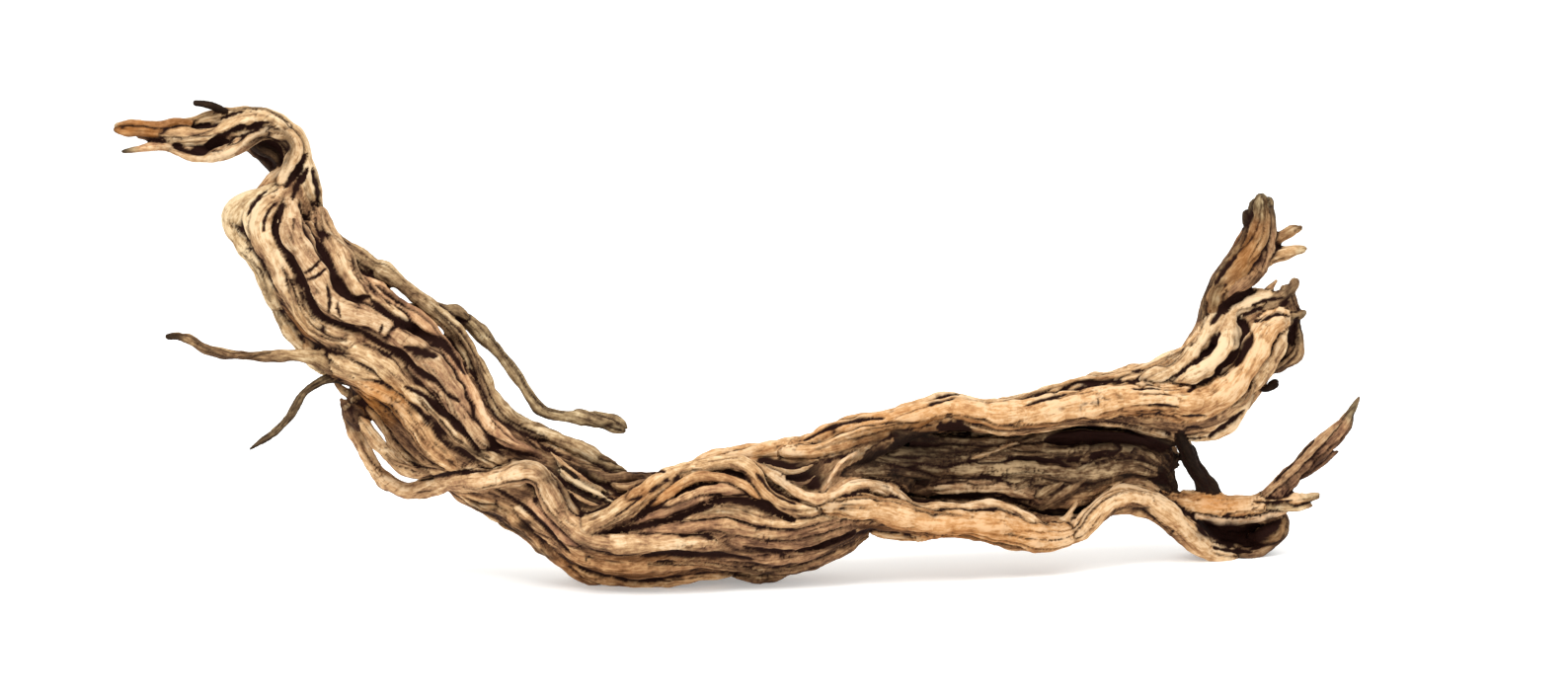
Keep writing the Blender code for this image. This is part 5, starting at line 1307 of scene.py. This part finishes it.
woodFinish = {
    "woods": {  # from the darkest tone to the palest
        "tan": [(0, "#27160d"), (0.28, "#5a3f2c"), (0.52, "#906b4b"), (0.76, "#ba9469"), (1, "#d9bb95")],
        "grey": [(0, "#1b160f"), (0.35, "#4a3f2c"), (0.7, "#8a7d5e"), (1, "#bdae8b")],
        # the heart ramp, for the inside of the hollow: greyer wood, darkened by painted shade
        "heart": [(0, "#0a0604"), (0.3, "#281b12"), (0.6, "#5f4630"), (1, "#a58b68")],
    },
    # soot is the colour of real dirt and painted shade; groove the colour of painted shade
    "pink": "#a5745c", "orange": "#b87228", "sootAndShade": "#130a05", "grooveShade": "#1d0a05",
    "pinkShare": 0.45, "orangeShare": 0.62, "greyShare": 0.85, "sootAndShadeShare": 0.96,
    "crackShare": 0.4, "grooveShadePower": 1.15,
    "noises": {  # mm across and along the grain, and detail
        "streak": (1.2, 11.0, 3.0), "hair": (0.5, 7.0, 2.0), "patch": (8.0, 18.0, 2.0),
        "fleck": (2.2, 3.0, 2.0), "stain": (9.0, 13.0, 2.0)},
    "noiseRoughness": 0.6,
    "moves": {"streak": 0.75, "hair": 0.45, "patch": 1.1, "fleck": 0.75},  # how far each moves the tone
    "stainMove": 3.6,  # and how far a stain's noise moves soot
    "crack": (9.0, 0.37),  # slope and level: streaks below the level are cracks
    "relief": {"streak": 0.6, "hair": 0.4},  # shares of the bump
    "bump": {"Strength": 0.6, "Distance": 0.0008},  # metres
    "surface": {"Roughness": 0.8, "Specular IOR Level": 0.08},  # dry fibre hardly mirrors
}


def weatheredVineWood():
    # Bare vine wood, worn by water and bleached by the sun: matt and tan, with a painted highlight where
    # it stands proud and painted shade, near black, in its grooves, creases, cracks and hollows; the soot
    # on it is partly real dirt and partly painted shade. The noises follow the grain; the real fibres are
    # finer than the picture shows, so they are drawn coarser.
    wood = woodFinish
    material = bpy.data.materials.new("weatheredVineWood")
    material.use_nodes = True
    tree = material.node_tree
    shader = tree.nodes["Principled BSDF"]
    marks = {key: addNode(tree, "Attribute", {}, "Fac", attribute_name=key)
             for key in ("tone", "pinkness", "sootAndShade", "greyness", "heartwood", "grooveShade")}
    place = addNode(tree, "Attribute", {}, "Vector", attribute_name="grainPlace")
    noises, even = {}, {}
    for key, (across, length, detail) in wood["noises"].items():
        scaled = addNode(tree, "VectorMath", {0: place, 1: (1 / across, 1 / across, 1 / length)},
                         operation="MULTIPLY")
        noises[key] = addNode(tree, "TexNoise", {
            "Vector": scaled, "Scale": 1.0, "Detail": detail, "Roughness": wood["noiseRoughness"]})
        even[key] = addNode(tree, "Math", {0: noises[key], 1: 0.5}, operation="SUBTRACT")

    # tone + each noise, moved to swing about 0, times its move
    tone = marks["tone"]
    for key, move in wood["moves"].items():
        tone = addNode(tree, "Math", {0: even[key], 1: move, 2: tone}, operation="MULTIPLY_ADD")
    woods = {}
    for key, stops in wood["woods"].items():
        woods[key] = addNode(tree, "ValToRGB", {"Fac": tone})
        ramp = woods[key].node.color_ramp.elements
        for at, code in stops[1:-1]:
            ramp.new(at).color = linear(code)
        ramp[0].color, ramp[-1].color = linear(stops[0][1]), linear(stops[-1][1])

    # soot, real dirt and painted shade together, is patchy where it is neither full nor absent:
    # soot + move * stain * soot * (1 - soot)
    clean = addNode(tree, "Math", {0: 1.0, 1: marks["sootAndShade"]}, operation="SUBTRACT")
    partly = addNode(tree, "Math", {0: marks["sootAndShade"], 1: clean}, operation="MULTIPLY")
    patchy = addNode(tree, "Math", {0: even["stain"], 1: partly}, operation="MULTIPLY")
    sootAndShade = addNode(tree, "Math", {0: patchy, 1: wood["stainMove"], 2: marks["sootAndShade"]},
                   operation="MULTIPLY_ADD", use_clamp=True)
    # painted shade: groove ^ power + share * cracks, and a crack is where the streaks' noise is low
    slope, level = wood["crack"]
    crack = addNode(tree, "Math", {0: noises["streak"], 1: -slope, 2: slope * level},
                    operation="MULTIPLY_ADD", use_clamp=True)
    grooveShade = addNode(tree, "Math", {0: marks["grooveShade"], 1: wood["grooveShadePower"]}, operation="POWER")
    dark = addNode(tree, "Math", {0: crack, 1: wood["crackShare"], 2: grooveShade},
                   operation="MULTIPLY_ADD", use_clamp=True)

    # the coats, one over the other: where, how much of it, and its colour; a colour mix takes
    # them at inputs 6 and 7 and gives its result at output 2
    coats = [
        (marks["pinkness"], wood["pinkShare"], linear(wood["pink"])),
        (marks["pinkness"], -wood["orangeShare"], linear(wood["orange"])),
        (marks["greyness"], wood["greyShare"], woods["grey"]),
        # the hollow's coat: greyer wood, darkened by painted shade
        (marks["heartwood"], 1.0, woods["heart"]),
        # the soot coat: real dirt and painted shade
        (sootAndShade, wood["sootAndShadeShare"], linear(wood["sootAndShade"])),
        # the groove coat: painted shade in grooves, creases and cracks
        (dark, 1.0, linear(wood["grooveShade"])),
    ]
    color = woods["tan"]
    for mark, share, paint in coats:
        amount = addNode(tree, "Math", {0: mark, 1: share}, operation="MULTIPLY")
        color = addNode(tree, "Mix", {"Factor": amount, 6: color, 7: paint}, 2,
                        data_type="RGBA", clamp_factor=True)
    tree.links.new(color, shader.inputs["Base Color"])

    height = 0.0
    for key, share in wood["relief"].items():
        height = addNode(tree, "Math", {0: noises[key], 1: share, 2: height}, operation="MULTIPLY_ADD")
    tree.links.new(addNode(tree, "Bump", {"Height": height} | wood["bump"]), shader.inputs["Normal"])
    for key, value in wood["surface"].items():
        shader.inputs[key].default_value = value
    return material


finish = weatheredVineWood()
looks = strandFacts(everyStrand)
strandTable = stations(everyStrand)
coreTable = stations([corePath(name, rows) for name, rows in denseCores.items()])
for name, stretch in stretches.items():
    paths = [coreStretch(*part) for part in stretch["cores"]]
    paths += [path for path in everyStrand if stretchOf(path["name"]) == name]
    piece = woodSkin(name, paths, stretch["voxel"], strandTable, coreTable, looks)
    piece.data.materials.append(finish)
    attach(piece, "root")
    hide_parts("driftwood")

studio = {
    "floorHalf": 40.0,  # metres
    "floorColor": "#f4f4f2",
    "floorRoughness": 0.9,
    "floorGlow": 0.3,  # the paper is lit from below too, which keeps the shadow faint
    "world": 1.0,
    "aim": (0, 0, 0.1),  # metres, where the lamps are turned to
    "lamps": [  # place, size, watts
        ((-0.7, -1.1, 1.9), 0.8, 36.0),
        ((0.9, -0.7, 1.8), 1.0, 10.0),
    ],
}


def studioFloor():
    # one pale square of matt paper under the wood
    half = studio["floorHalf"]
    mesh = bpy.data.meshes.new("paleFloor")
    corners = [(-half, -half, 0), (half, -half, 0), (half, half, 0), (-half, half, 0)]
    mesh.from_pydata(corners, [], [(0, 1, 2, 3)])
    floor = bpy.data.objects.new("paleFloor", mesh)
    bpy.context.scene.collection.objects.link(floor)
    paper = bpy.data.materials.new("paleFloorPaper")
    paper.use_nodes = True
    sockets = paper.node_tree.nodes["Principled BSDF"].inputs
    for key in ("Base Color", "Emission Color"):
        sockets[key].default_value = linear(studio["floorColor"])
    sockets["Roughness"].default_value = studio["floorRoughness"]
    sockets["Emission Strength"].default_value = studio["floorGlow"]
    mesh.materials.append(paper)


def studioLight():
    # an even white world and two soft lamps above the front, turned to the wood's middle
    world = bpy.data.worlds.new("studio")
    world.use_nodes = True
    sockets = world.node_tree.nodes["Background"].inputs
    sockets["Color"].default_value = (1, 1, 1, 1)
    sockets["Strength"].default_value = studio["world"]
    bpy.context.scene.world = world
    for number, (place, size, watts) in enumerate(studio["lamps"]):
        light = bpy.data.lights.new(f"softbox{number}", "AREA")
        light.size, light.energy = size, watts
        lamp = bpy.data.objects.new(f"softbox{number}", light)
        bpy.context.scene.collection.objects.link(lamp)
        lamp.location = place
        lamp.rotation_euler = (Vector(studio["aim"]) - Vector(place)).to_track_quat("-Z", "Y").to_euler()
    bpy.context.scene.view_settings.view_transform = "Standard"


studioFloor()
studioLight()
print("studio ready")
